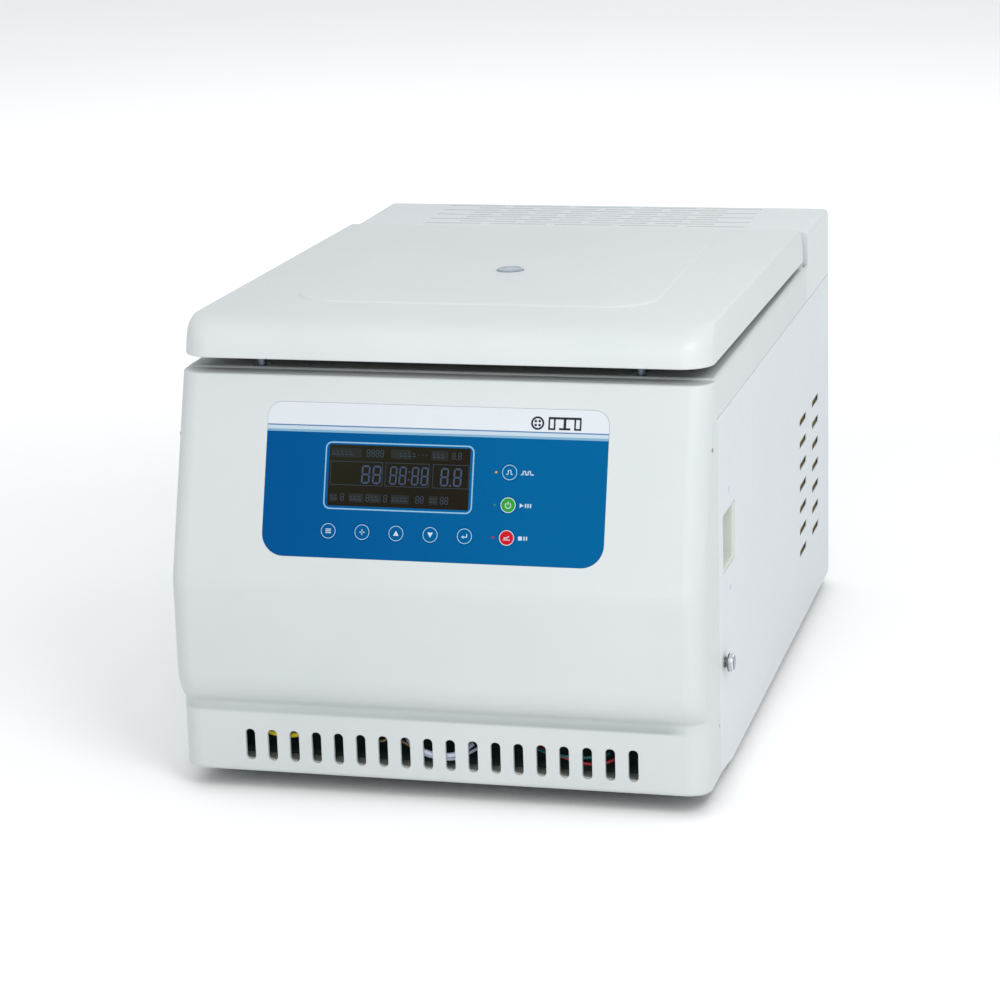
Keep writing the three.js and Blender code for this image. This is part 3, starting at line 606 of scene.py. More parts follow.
MAT["led_r"] = printed("indicator_red", (150, 34, 62), (168, 46, 74), 0.4, spec=0.1)
MAT["steel"] = metal("steel_sheet", (150, 154, 156), (186, 190, 192), (0.28, 0.42), (1, 14, 1), 160)
MAT["bright"] = metal("polished_steel", (196, 200, 204), (232, 234, 238), (0.1, 0.22), (1, 1, 8), 260, 0.00001)
MAT["bowl"] = metal("chamber_steel", (168, 172, 174), (204, 208, 210), (0.2, 0.34), (1, 1, 18), 120, 0.00003)
MAT["pin"] = metal("latch_pin_zinc", (112, 124, 136), (150, 160, 172), (0.28, 0.42), (1, 1, 6), 300)
MAT["zinc"] = metal("zinc_frame", (140, 146, 148), (178, 184, 186), (0.36, 0.52), (1, 1, 1), 90, 0.00004, 0.08)
MAT["alloy"] = metal("rotor_alloy", (150, 154, 158), (188, 192, 196), (0.3, 0.44), (1, 1, 1), 500, 0.00003)
MAT["spring"] = metal("spring_steel", (88, 92, 96), (126, 130, 134), (0.24, 0.36), (8, 1, 1), 300)
MAT["black"] = rubber("black_plastic", (26, 27, 29), (42, 43, 45), (0.42, 0.58), 900, 0.00005)
MAT["rubber"] = rubber("rubber_black", (22, 22, 23), (40, 40, 41))
MAT["seal"] = rubber("seal_rubber", (52, 54, 55), (72, 74, 75), (0.6, 0.78), 500, 0.0001)
MAT["foam"] = rubber("insulation_foam", (206, 196, 150), (228, 220, 180), (0.85, 0.95), 240, 0.0006)
MAT["motor"] = paint("motor_grey", (78, 82, 86), (100, 104, 108), (0.4, 0.55), peel=500, depth=0.0001)
MAT["comp"] = paint("compressor_black", (24, 25, 27), (40, 41, 43), (0.28, 0.42), peel=240, depth=0.00015)
MAT["rocker"] = printed("switch_red", (120, 18, 20), (146, 28, 28), 0.3)
MAT["dark"] = rubber("vent_dark", (30, 30, 26), (52, 50, 40), (0.6, 0.8), 300, 0.0002)
# dark green-grey on the lid liner: partly its coating, partly painted shade for the dark gap between lid and deck
MAT["liner"] = paint("liner_paint", (44, 54, 46), (54, 64, 55), (0.5, 0.62), peel=260, depth=0.00008, spec=0.3)
MAT["module"] = paint("module_dark", (16, 26, 25), (24, 36, 34), (0.5, 0.65), peel=400, spec=0.25)
MAT["tray"] = paint("tray_grey", (198, 201, 194), (208, 210, 203), (0.6, 0.75), peel=300, spec=0.25)
MAT["screw_blue"] = paint("screw_cap", (176, 184, 196), (184, 192, 204), (0.4, 0.5), peel=600)
# darker copies of the polished chrome for the release knob: painted shade on its collar and band, and on its end face
MAT["chrome_dark"] = metal("pull_collar_painted_shade", (96, 98, 92), (128, 130, 124), (0.2, 0.3), (1, 1, 8), 240, 0.00001)
MAT["chrome_face"] = metal("pull_face_painted_shade", (112, 116, 122), (136, 140, 146), (0.16, 0.26), (1, 1, 1), 240, 0.00001)
MAT["filter"] = rubber("filter_mat", (104, 94, 58), (132, 120, 78), (0.85, 0.95), 420, 0.0004)
# dark sheet behind the kick plate slots: painted shade for the inside of the casing
MAT["backing"] = paint("slot_backing_painted_shade", (18, 38, 38), (26, 48, 47), (0.5, 0.65), peel=400, spec=0.25)
MAT["brass"] = metal("contact_brass", (190, 160, 90), (222, 192, 120), (0.24, 0.4))
MAT["wy"] = printed("wire_yellow", (206, 190, 20), (232, 214, 50), 0.4, grain=800)
MAT["ww"] = printed("wire_white", (206, 214, 240), (226, 232, 250), 0.4, grain=800)
MAT["wb"] = printed("wire_brown", (120, 104, 70), (144, 126, 88), 0.4, grain=800)
MAT["wr"] = printed("wire_red", (150, 24, 34), (180, 40, 48), 0.4, grain=800)
MAT["wg"] = printed("wire_green", (10, 82, 84), (22, 104, 104), 0.4, grain=800)


def screen_material():
    """Display: smoked brown window, warmer and lighter towards its lower right."""
    m, t, b, oc = base("display_glass")
    sep = t.nodes.new("ShaderNodeSeparateXYZ")
    t.links.new(oc, sep.inputs[0])
    x = span(t, sep.outputs[0], 0.0, 1.0, -0.09, 0.03)
    z = span(t, sep.outputs[2], 1.0, 0.0, 0.265, 0.325)
    g = mathn(t, "ADD", mathn(t, "MULTIPLY", x, 0.5), mathn(t, "MULTIPLY", z, 0.5))
    g = mathn(t, "ADD", g, span(t, noise(t, oc, 30, 3, 0.6), -0.08, 0.08))
    t.links.new(ramp(t, g, [(0.0, lin((31, 33, 21))), (0.55, lin((27, 24, 15))), (1.0, lin((27, 22, 15)))]), b.inputs["Base Color"])
    t.links.new(span(t, noise(t, oc, 60, 3, 0.6), 0.3, 0.42), b.inputs["Roughness"])
    bump(t, b, noise(t, oc, 1200, 2, 0.5), 0.00001)
    b.inputs["Specular IOR Level"].default_value = 0.05
    return m


MAT["screen"] = screen_material()


def glass_material():
    """Sight glass: thick greyish-blue acrylic, slightly hazed."""
    m, t, b, oc = base("sight_clear")
    n = noise(t, oc, 60, 3, 0.6)
    t.links.new(ramp(t, n, [(0.3, lin((166, 178, 192))), (0.7, lin((188, 198, 208)))]), b.inputs["Base Color"])
    t.links.new(span(t, n, 0.08, 0.18), b.inputs["Roughness"])
    bump(t, b, noise(t, oc, 500, 2, 0.5), 0.00001)
    b.inputs["Transmission Weight"].default_value = 0.35
    b.inputs["IOR"].default_value = 1.49
    return m


MAT["glass"] = glass_material()


def fins_material():
    """Condenser: thin upright fins drawn as bands, the dark bands painted shade in the gaps between fins; dusty."""
    m, t, b, oc = base("condenser_fins")
    w = t.nodes.new("ShaderNodeTexWave")
    w.wave_type, w.bands_direction = "BANDS", "Y"
    w.inputs["Scale"].default_value = 160
    w.inputs["Distortion"].default_value = 0.3
    t.links.new(oc, w.inputs["Vector"])
    dust = noise(t, oc, 40, 4, 0.6)
    col = mixc(t, span(t, dust, 0.0, 0.5), ramp(t, w.outputs["Fac"], [(0.2, lin((40, 36, 20))), (0.8, lin((104, 96, 58)))]), lin((110, 98, 58)))
    t.links.new(col, b.inputs["Base Color"])
    t.links.new(span(t, dust, 0.4, 0.7), b.inputs["Roughness"])
    b.inputs["Metallic"].default_value = 0.5
    bump(t, b, w.outputs["Fac"], 0.0006)
    return m


def board_material():
    """Circuit board: green mask with darker tracks."""
    m, t, b, oc = base("board_green")
    v = t.nodes.new("ShaderNodeTexVoronoi")
    v.distance = "MANHATTAN"
    v.inputs["Scale"].default_value = 160
    t.links.new(oc, v.inputs["Vector"])
    t.links.new(ramp(t, v.outputs["Distance"], [(0.25, lin((14, 66, 38))), (0.5, lin((34, 110, 62)))]), b.inputs["Base Color"])
    t.links.new(span(t, noise(t, oc, 200, 3, 0.6), 0.3, 0.5), b.inputs["Roughness"])
    bump(t, b, v.outputs["Distance"], 0.0001)
    return m


MAT["fins"] = fins_material()
MAT["board"] = board_material()

# ------------------------------------------------------------------ front moulding
HW, SEAM, WALL, CR = 240.0, 65.0, 3.5, 20.0
SLOPE = rad(18.2)
TOPZ = 355.7


def face(x, s, n):
    """Display face: x along it, s up it from the crease, n out of it."""
    return (x, -15 + s * sin(SLOPE) - n * cos(SLOPE), 179 + s * cos(SLOPE) + n * sin(SLOPE))


def slope_y(z):
    return -15 + (z - 179) * math.tan(SLOPE)


S_TOP = (TOPZ - 179) / cos(SLOPE)
# profile of the front, (y, z), from the lower edge to the top edge
prof = []
for k in range(4):
    a = rad(90 * k / 3)
    prof.append((3.6 * (1 - sin(a)), 3.6 * (1 - cos(a))))
KICK_LO, KICK_HI = 5.0, 47.0
prof += [(0.0, KICK_LO), (0.0, KICK_HI), (0.0, 56.0)]
R1 = 40.0
th1 = math.acos((R1 - 13.9) / R1)
under = []
for k in range(13):
    a = th1 * (1 - k / 12)
    under.append((-15 + R1 * (1 - cos(a)), 97 - R1 * sin(a)))
p0, p1 = (0.0, 60.2), under[0]
kink = fillet([(0.0, 56.0), (0.0, p1[1] - 1.1 / math.tan(th1)), under[1]], [0, 4.0, 0], 6)
prof += kink[1:-1] + under[1:]
prof += [(-15.0, 110.0), (-15.0, 150.0)]
crease = fillet([(-15.0, 150.0), (-15.0, 179.0), (slope_y(230.0), 230.0)], [0, 44.0, 0], 10)
prof += crease[1:-1]
S_LO, S_HI = 20.0, 170.0
z_lo, z_hi = 179 + S_LO * cos(SLOPE), 179 + S_HI * cos(SLOPE)
prof += [(slope_y(z_lo), z_lo), (slope_y(z_hi), z_hi), (slope_y(TOPZ - 1.8), TOPZ - 1.8)]
clean = [prof[0]]
for p in prof[1:]:
    if math.hypot(p[0] - clean[-1][0], p[1] - clean[-1][1]) > 0.02:
        clean.append(p)
prof = clean


def normals_of(pr):
    out = []
    for i in range(len(pr)):
        a, b = pr[max(i - 1, 0)], pr[min(i + 1, len(pr) - 1)]
        dy, dz = b[0] - a[0], b[1] - a[1]
        L = math.hypot(dy, dz)
        out.append((-dz / L, dy / L))
    return out


X_FLAT = [-220.0, -205.0, -170.0, -90.0, 0.0, 90.0, 170.0, 205.0, 220.0]


def section(yf, inset, back, hw=HW, cr=CR):
    """Half-open outline of the moulding at one height: side, corner, front, corner, side."""
    hw, r, yf = hw - inset, max(cr - inset, 0.5), yf
    cy = yf + r
    mid = (back - 0.6 + cy) / 2
    out = [(-hw + (0.5 if inset == 0 else 0), back), (-hw, back - 0.6), (-hw, mid)]
    cx = HW - CR
    for k in range(0, 13):
        a = rad(180 + 90 * k / 12)
        out.append((-cx + r * cos(a), cy + r * sin(a)))
    out += [(x, yf) for x in X_FLAT[1:-1]]
    for k in range(0, 13):
        a = rad(270 + 90 * k / 12)
        out.append((cx + r * cos(a), cy + r * sin(a)))
    out += [(hw, mid), (hw, back - 0.6), (hw - (0.5 if inset == 0 else 0), back)]
    return out


S = Skin()
rows, inner = [], []
nrm = normals_of(prof)
for (y, z), (ny, nz) in zip(prof, nrm):
    rows.append([(u, v, z) for u, v in section(y, 0, SEAM)])
    zi = z - WALL * nz
    yi = y - WALL * ny
    inner.append([(u, v, zi) for u, v in section(yi, WALL, SEAM)])
# rounded top edge, then the ledge that runs back to the deck
for k in range(1, 5):
    a = rad(90 * k / 4)
    z = TOPZ - 1.8 * (1 - sin(a))
    ins = 1.8 * (1 - cos(a))
    y = slope_y(z) + ins
    rows.append([(u, v, z) for u, v in section(y, ins, SEAM)])
    inner.append([(u, v, TOPZ - WALL) for u, v in section(slope_y(TOPZ) + WALL + 0.6 * ins, WALL + ins * 0.4, SEAM)])
ncol = len(rows[0])
col_of = {x: 3 + 12 + i for i, x in enumerate(X_FLAT)}
row_of = lambda y, z: min(range(len(prof)), key=lambda i: abs(prof[i][0] - y) + abs(prof[i][1] - z))
rk0, rk1 = row_of(0, KICK_LO), row_of(0, KICK_HI)
rs0, rs1 = row_of(slope_y(z_lo), z_lo), row_of(slope_y(z_hi), z_hi)
ck0, ck1 = col_of[-205.0], col_of[205.0]
cs0, cs1 = col_of[-170.0], col_of[170.0]


def skip(i, j):
    return (i == rk0 and ck0 <= j < ck1) or (i == rs0 and cs0 <= j < cs1)


assert rk1 == rk0 + 1 and rs1 == rs0 + 1
S.grid(rows, inner, skip)
# the ledge
last = [(u, v) for u, v, _ in rows[-1]]
lz = rows[-1][0][2]
S.cap(last[::1], [], lambda u, v: (u, v, lz), lambda u, v: (max(-HW + WALL, min(HW - WALL, u)), v, TOPZ - WALL))
# kick plate with its slots
SLOT_W, SLOT_LO, SLOT_HI, SLOT_PITCH = 8.7, 11.4, 40.2, 20.55
slots = []
for i in range(18):
    x = (i - 8.5) * SLOT_PITCH
    slots.append(rr(x - SLOT_W / 2, x + SLOT_W / 2, SLOT_LO, SLOT_HI, SLOT_W / 2 - 0.3, 7))
kick_border = [(x, KICK_LO) for x in X_FLAT[1:-1]] + [(x, KICK_HI) for x in reversed(X_FLAT[1:-1])]
kf = lambda u, v, d=0.0: (u, d, v)
ki = lambda u, v: (u, WALL, v)
S.cap(kick_border, [offset(h, 0.7) for h in slots], kf, ki)
for h in slots:
    S.rim(h, 1, 0.7, 4, kf, ki)
# recess for the overlay, with the window, key and light holes in its floor
OV = dict(x0=-153.5, x1=152.4, s0=27.5, s1=162.5)
OVR = [20.0, 20.0, 13.0, 13.0]
recess = rr(OV["x0"] - 0.3, OV["x1"] + 0.3, OV["s0"] - 0.3, OV["s1"] + 0.3, OVR, 10)
RE = 0.16
sf = lambda u, v, d=0.0: face(u, v, -d)
si = lambda u, v: face(u, v, -WALL)
xs = [x for x in X_FLAT if -170.0 <= x <= 170.0]
S.cap([(x, S_LO) for x in xs] + [(x, S_HI) for x in reversed(xs)], [offset(recess, RE)], sf, si)
S.rim(recess, 1, RE, 3, sf, si)
win = rr(-99.7, 35.4, 69.4, 129.4, 6.4, 6)
KEYS = {"key_program": (-93.2, 50.7), "key_set": (-62.5, 50.7), "key_up": (-31.8, 50.7), "key_down": (-1.1, 50.7), "key_enter": (29.6, 50.7),
        "key_pulse": (67.0, 107.1), "key_start": (67.0, 78.9), "key_stop": (67.0, 50.7)}
LEDS = [(55.0, 106.9), (55.0, 78.8), (55.0, 50.7)]
kh = [circle(x, s, 8.15, 40) for x, s in KEYS.values()]
lh = [circle(x, s, 2.5, 20) for x, s in LEDS]
floor_in = [(u, v) for u, v in recess]
S.grid([[face(u, v, -RE) for u, v in recess], [face(u, v, -1.0) for u, v in recess]],
       [[face(u, v, -WALL) for u, v in offset(recess, -0.0)], [face(u, v, -WALL) for u, v in offset(recess, -0.02)]], closed=True)
S.cap(floor_in, [win] + kh + lh, lambda u, v: face(u, v, -1.0), lambda u, v: face(u, v, -WALL))
make("front_moulding", S.shell(), [MAT["front"]], "casing", ["front_bezel"], sharp=40)

# ------------------------------------------------------------------ overlay: film with its printed fields
levels = [143.0, 141.9, 138.8, 136.7]
FZ = 0.06
outl = rr(OV["x0"] - 0.24, OV["x1"] + 0.24, OV["s0"] - 0.24, OV["s1"] + 0.24, OVR, 10)
withl = []
for i, p in enumerate(outl):
    q = outl[(i + 1) % len(outl)]
    withl.append(p)
    if abs(p[0] - q[0]) < 1e-6 and abs(p[1] - q[1]) > 20:
        ls = sorted(levels, reverse=q[1] < p[1])
        withl += [(p[0], s) for s in ls if min(p[1], q[1]) < s < max(p[1], q[1])]
E_OV = 0.1
lines = [[(outl[0][0] + E_OV, s), (OV["x1"] + 0.24 - E_OV, s)] for s in levels]
closedl = lambda loop: list(loop) + [loop[0]]


def ov_mat(c):
    s = c[1]
    return 1 if s > 143.0 else 3 if s > 141.9 else 2 if s > 138.8 else 4 if s > 136.7 else 0


okh = [circle(x, s, 7.68, 48) for x, s in KEYS.values()]
olh = [circle(x, s, 1.15, 20) for x, s in LEDS]
ov = plate(withl, [rr(-99.42, 35.12, 69.68, 129.12, 6.12, 8)] + okh + olh, lambda u, v, d: face(u, v, FZ - d), 0.8, E_OV, 2, ov_mat, lines)
make("control_film", ov, [MAT["blue"], MAT["strip"], MAT["band"], MAT["line"], MAT["band2"]], "casing", ["control_overlay"])

# ------------------------------------------------------------------ display
rim_in, scr_out = rr(-98.1, 33.8, 71.0, 127.8, 4.8, 8), rr(-95.6, 31.6, 73.0, 126.4, 1.4, 4)
scr = plate(rr(-99.3, 35.0, 69.8, 129.0, 6.0, 8), [], lambda u, v, d: face(u, v, FZ - d), 7.9, 0.15, 2,
            lambda c: 2 if inside(c, scr_out) else 3 if inside(c, rim_in) else 0, [closedl(rim_in), closedl(scr_out)])
scr = merge(scr, prism(rr(-107.3, 43.0, 63.8, 135.0, 2, 2), lambda u, v, h: face(u, v, h), -12.0, -8.1, 1, 0.4))
make("display_window", scr, [MAT["lcd_line"], MAT["black"], MAT["screen"], MAT["blue"]], "casing", ["lcd_display"])


def seg7(ch, x, s, w, h, t, slant=0.0):
    """Polygons of one seven-segment figure with its lower left corner at (x, s)."""
    on = {"0": "abcdef", "1": "bc", "2": "abged", "3": "abgcd", "4": "fgbc", "5": "afgcd", "6": "afgedc", "7": "abc", "8": "abcdefg", "9": "abcfgd", "-": "g", ".": "", ":": ""}[ch]
    g = t * 0.16
    P = []
    hz = lambda yy: [(t * .5 + g, yy), (t + g, yy + t / 2), (w - t - g, yy + t / 2), (w - t * .5 - g, yy), (w - t - g, yy - t / 2), (t + g, yy - t / 2)]
    vt = lambda xx, y0, y1: [(xx, y0 + g + t * .5), (xx + t / 2, y0 + t + g), (xx + t / 2, y1 - t - g), (xx, y1 - g - t * .5), (xx - t / 2, y1 - t - g), (xx - t / 2, y0 + t + g)]
    lay = {"a": hz(h - t / 2), "g": hz(h / 2), "d": hz(t / 2), "f": vt(t / 2, h / 2 - t / 2, h), "b": vt(w - t / 2, h / 2 - t / 2, h),
           "e": vt(t / 2, 0, h / 2 + t / 2), "c": vt(w - t / 2, 0, h / 2 + t / 2)}
    for k in on:
        P.append(lay[k])
    if ch == ".":
        P = [[(0, 0), (t, 0), (t, t), (0, t)]]
    if ch == ":":
        P = [[(0, h * .25), (t, h * .25), (t, h * .25 + t), (0, h * .25 + t)], [(0, h * .68), (t, h * .68), (t, h * .68 + t), (0, h * .68 + t)]]
    return [[(x + a + slant * b, s + b) for a, b in p] for p in P]


def text7(txt, x, s, w, h, t, gap):
    out = []
    for ch in txt:
        if ch == " ":
            x += w + gap
            continue
        out += seg7(ch, x, s, w, h, t, 0.04)
        x += (t if ch in ".:" else w) + gap
    return out


def prints(polys, n0, n1, m=0):
    parts = []
    for p in polys:
        area = sum(p[i - 1][0] * p[i][1] - p[i][0] * p[i - 1][1] for i in range(len(p)))
        p = p if area > 0 else p[::-1]
        parts.append(prism(p, lambda u, v, h: face(u, v, h), n0, n1, m))
    return merge(*parts)


def frame_rect(x0, x1, s0, s1, w):
    return [[(x0, s0), (x1, s0), (x1, s0 + w), (x0, s0 + w)], [(x0, s1 - w), (x1, s1 - w), (x1, s1), (x0, s1)],
            [(x0, s0 + w), (x0 + w, s0 + w), (x0 + w, s1 - w), (x0, s1 - w)], [(x1 - w, s0 + w), (x1, s0 + w), (x1, s1 - w), (x1 - w, s1 - w)]]


FB = 93.0
big = text7("88", -66.0, FB, 7.8, 16.0, 1.5, 2.2)
big += text7("88", -40.5, FB, 6.6, 16.0, 1.3, 1.9) + text7(":", -23.6, FB, 6.6, 16.0, 1.3, 1.7) + text7("88", -20.8, FB, 6.6, 16.0, 1.3, 1.9)
big += text7("8", 5.2, FB, 7.4, 16.0, 1.5, 1.6) + text7(".", 13.8, FB, 7.4, 16.0, 1.5, 1.6) + text7("8", 16.8, FB, 7.4, 16.0, 1.5, 1.6)
small = frame_rect(-94.0, -46.6, 91.2, 112.0, 0.45) + frame_rect(-44.2, -4.8, 91.2, 112.0, 0.45) + frame_rect(-1.6, 31.0, 91.2, 112.0, 0.45)
small += text7("8888", -62.0, 116.3, 3.2, 6.6, 0.7, 0.9) + text7("8.8", 15.0, 116.3, 3.0, 6.6, 0.7, 0.9)
small += text7("8", -84.0, 77.3, 3.4, 6.6, 0.7, 0.9) + text7("8", -61.0, 77.3, 3.4, 6.6, 0.7, 0.9) + text7("8", -45.0, 77.3, 3.4, 6.6, 0.7, 0.9)
small += text7("88", -16.0, 77.3, 3.2, 6.6, 0.7, 0.9) + text7("88", 6.0, 77.3, 3.2, 6.6, 0.7, 0.9)
# generic marks beside the figures: small bars
for x0, s0, nn, ww in [(-93, 117.6, 5, 2.8), (-32, 117.6, 4, 2.8), (-2, 117.6, 3, 2.6), (-93, 78.6, 2, 2.6), (-75, 78.6, 3, 2.4), (-56, 78.6, 2, 2.4), (-37, 78.6, 4, 2.4), (-3, 78.6, 2, 2.2)]:
    for i in range(nn):
        xa = x0 + i * (ww + 1.1)
        small.append([(xa, s0), (xa + ww, s0), (xa + ww, s0 + 0.8), (xa, s0 + 0.8)])
        small.append([(xa, s0 + 2.4), (xa + ww * 0.6, s0 + 2.4), (xa + ww * 0.6, s0 + 3.2), (xa, s0 + 3.2)])
boxes = [[(a, c), (b, c), (b, d), (a, d)] for a, b, c, d in [(-94, -66.5, 115.4, 123.6), (-40, -22, 115.4, 123.6), (-3.4, 11.6, 115.4, 123.6),
         (-94, -87, 76.6, 83.6), (-76, -63, 76.6, 84.2), (-57, -47, 76.6, 84.2), (-38, -22, 76.6, 84.2), (-4, 4, 76.6, 84.2)]]
small += text7("----", -19.8, 116.3, 2.6, 6.6, 0.7, 0.9)
make("display_figures", merge(prints(big, FZ - 0.02, FZ + 0.05, 0), prints(small, FZ - 0.02, FZ + 0.04, 1), prints(boxes, FZ - 0.03, FZ + 0.02, 2)), [MAT["digit"], MAT["digit_dim"], MAT["digit_box"]], "casing", weighted=False)


# ------------------------------------------------------------------ keys
def arc(cx, cy, r, a0, a1, w, n=20):
    a = [rad(a0 + (a1 - a0) * i / n) for i in range(n + 1)]
    return [(cx + (r - w / 2) * cos(t), cy + (r - w / 2) * sin(t)) for t in a] + [(cx + (r + w / 2) * cos(t), cy + (r + w / 2) * sin(t)) for t in reversed(a)]


def bar(x0, y0, x1, y1, w):
    L = math.hypot(x1 - x0, y1 - y0)
    nx, ny = -(y1 - y0) / L * w / 2, (x1 - x0) / L * w / 2
    return [(x0 - nx, y0 - ny), (x1 - nx, y1 - ny), (x1 + nx, y1 + ny), (x0 + nx, y0 + ny)]


ICON = {
    "key_program": [bar(-3.2, 2.0, 3.2, 2.0, 1.0), bar(-3.2, 0, 3.2, 0, 1.0), bar(-3.2, -2.0, 3.2, -2.0, 1.0)],
    "key_set": [bar(-3.0, 0, -0.9, 0, 1.0), bar(0.9, 0, 3.0, 0, 1.0), bar(0, 0.9, 0, 3.0, 1.0), bar(0, -3.0, 0, -0.9, 1.0)],
    "key_up": [[(-3.2, -2.6), (3.2, -2.6), (0, 3.2)]],
    "key_down": [[(-3.2, 2.6), (0, -3.2), (3.2, 2.6)]],
    "key_enter": [bar(2.6, 2.6, 2.6, -0.9, 1.0), bar(3.1, -1.0, -1.6, -1.0, 1.0), [(-3.6, -1.0), (-1.2, -2.8), (-1.2, 0.8)]],
    "key_pulse": [bar(-3.6, -2.2, -1.2, -2.2, 0.9), bar(-1.6, -2.6, -1.6, 2.4, 0.9), bar(-2.0, 2.2, 2.0, 2.2, 0.9), bar(1.6, 2.6, 1.6, -2.6, 0.9), bar(1.2, -2.2, 3.6, -2.2, 0.9)],
    "key_start": [arc(0, -0.4, 3.1, 125, 415, 0.95, 26), bar(0, 0.2, 0, 3.9, 1.0)],
    "key_stop": [bar(-3.8, -2.2, 3.8, -2.2, 0.9), bar(-3.2, -0.4, 0.6, 0.2, 1.3), bar(0.4, 0.0, 2.8, 2.0, 1.0)],
}
KM = {"key_start": "green", "key_stop": "red"}
for name, (x, s) in KEYS.items():
    pl = lambda u, v, h, x=x, s=s: face(x + u, s + v, h)
    body = lathe([(0, -5.4), (9.0, -5.4), (9.0, -4.2), (7.55, -4.2), (7.55, 0.12), (7.5, 0.24), (7.4, 0.3), (7.2, 0.33), (5.2, 0.34), (3.0, 0.35), (0, 0.35)], 48, pl, 0)
    ring = lathe([(6.05, 0.3), (6.66, 0.3), (6.68, 0.385), (6.6, 0.41), (6.12, 0.42), (6.05, 0.4)], 48, pl, 1)
    parts = [body, ring]
    if name in KM:
        parts.append(lathe([(0, 0.3), (6.1, 0.29), (6.1, 0.36), (6.0, 0.38), (0, 0.39)], 48, pl, 2))
    for p in ICON[name]:
        area = sum(p[i - 1][0] * p[i][1] - p[i][0] * p[i - 1][1] for i in range(len(p)))
        p = [(0.78 * a, 0.78 * b) for a, b in p]
        parts.append(prism(p if area > 0 else p[::-1], pl, 0.28, 0.44, 3))
    km = MAT[KM.get(name, "blue")]
    make(name + "_cap", merge(*parts), [MAT["blue"], MAT["ring"] if name in KM else MAT["ringb"], km, MAT["ring"]], name + "_body", [name], sharp=50, weighted=False)

# three indicator lights on one light guide behind the wall
parts = [prism(rr(52.2, 57.4, 47, 111, 1, 2), lambda u, v, h: face(u, v, h), -6.4, -4.2, 0)]
for i, (x, s) in enumerate(LEDS):
    parts.append(lathe([(0, -5), (2.2, -5), (2.2, -1.3), (1.05, -1.2), (1.05, FZ), (0.95, FZ + 0.1), (0.6, FZ + 0.16), (0, FZ + 0.18)], 24, lambda u, v, h, x=x, s=s: face(x + u, s + v, h), i))
make("indicator_lights", merge(*parts), [MAT["led_y"], MAT["led_g"], MAT["led_r"]], "casing", ["indicator_guide"], sharp=50)

# printed marks beside the three side keys and a plain rotor sign in the white strip
marks = [bar(77.0, 105.6, 79.2, 105.6, 0.9), bar(78.9, 105.2, 78.9, 108.8, 0.9), bar(78.5, 108.5, 81.3, 108.5, 0.9), bar(81.0, 108.8, 81.0, 105.2, 0.9), bar(80.7, 105.6, 83.6, 105.6, 0.9),
         bar(83.3, 105.2, 83.3, 108.8, 0.9), bar(82.9, 108.5, 85.7, 108.5, 0.9), bar(85.4, 108.8, 85.4, 105.2, 0.9), bar(85.1, 105.6, 88.4, 105.6, 0.9)]
marks += [[(77.2, 77.0), (80.8, 78.9), (77.2, 80.8)]] + [bar(82.4 + k * 2.2, 77.2, 82.4 + k * 2.2, 80.6, 1.2) for k in range(3)]
marks += [[(77.2, 49.0), (80.6, 49.0), (80.6, 52.4), (77.2, 52.4)]] + [bar(82.4 + k * 2.2, 49.0, 82.4 + k * 2.2, 52.4, 1.2) for k in range(2)]
make("film_marks", prints(marks, FZ - 0.03, FZ + 0.05), [MAT["ring"]], "casing", weighted=False)
SX, SS = 89.6, 150.4
sign = [arc(SX, SS, 5.0, 0, 359.9, 1.7, 40)]
for a in (45, 135, 225, 315):
    sign.append(arc(SX + 2.4 * cos(rad(a)), SS + 2.4 * sin(rad(a)), 0.6, 0, 359.9, 1.19, 14))
sign += [bar(SX + 9.6, SS + 4.6, SX + 38.4, SS + 4.6, 2.0), bar(SX + 24, SS + 5.2, SX + 24, SS - 5.2, 2.4), bar(SX + 19, SS - 4.6, SX + 29, SS - 4.6, 1.8)]
for x in (SX + 12.6, SX + 35.4):
    sign += [bar(x - 2.4, SS + 4.4, x - 2.4, SS - 5.4, 1.5), bar(x + 2.4, SS + 4.4, x + 2.4, SS - 5.4, 1.5), bar(x - 3.1, SS - 4.8, x + 3.1, SS - 4.8, 1.6)]
make("film_sign", prints(sign, FZ - 0.03, FZ + 0.05), [MAT["ink"]], "casing", weighted=False)

# ------------------------------------------------------------------ deck
DECK_Z, P_TOP, D_END, HOOD_Y, HOOD_Z = 357.5, 321.5, 577.5, 592.0, 391.0


def arch(top, inset, low, r=5.0, seg=6, xs=None):
    """Outline across the machine: skirt, rounded edge, top, rounded edge, skirt."""
    h, z, q = HW - inset, top - inset, max(r - inset, 0.4)
    out = [(-h, low), (-h, low + 6)]
    for k in range(seg + 1):
        a = rad(180 - 90 * k / seg)
        out.append((-h + q + q * cos(a), z - q + q * sin(a)))
    for x in xs or []:
        out.append((x, z))
    for k in range(seg + 1):
        a = rad(90 - 90 * k / seg)
        out.append((h - q + q * cos(a), z - q + q * sin(a)))
    out += [(h, low + 6), (h, low)]
    return out


S = Skin()
rows, inner = [], []
E = 2.6
nc = len(arch(DECK_Z, 0, P_TOP + 0.8))
for k in range(4):
    a = rad(90 * k / 3)
    y = SEAM + 0.5 + E * (1 - cos(a))
    ins = E * (1 - sin(a))
    rows.append([(u, y, v) for u, v in arch(DECK_Z, ins, P_TOP + 0.8)])
    inner.append([(u, y, v) for u, v in arch(DECK_Z, 3.0, P_TOP + 0.8)])
rows = rows[::-1] if rows[0][0][1] > rows[-1][0][1] else rows
ys = [rows[-1][0][1]]
for y in (D_END, HOOD_Y - 0.5):
    rows.append([(u, y, v) for u, v in arch(DECK_Z, 0, P_TOP + 0.8)])
    inner.append([(u, y, v) for u, v in arch(DECK_Z, 3.0, P_TOP + 0.8)])
nr = len(rows)
jt = nc // 2 - 1
S.grid(rows, inner, lambda i, j: (i >= nr - 3 and j == jt) or i == nr - 2)
xl = rows[-1][jt][0]
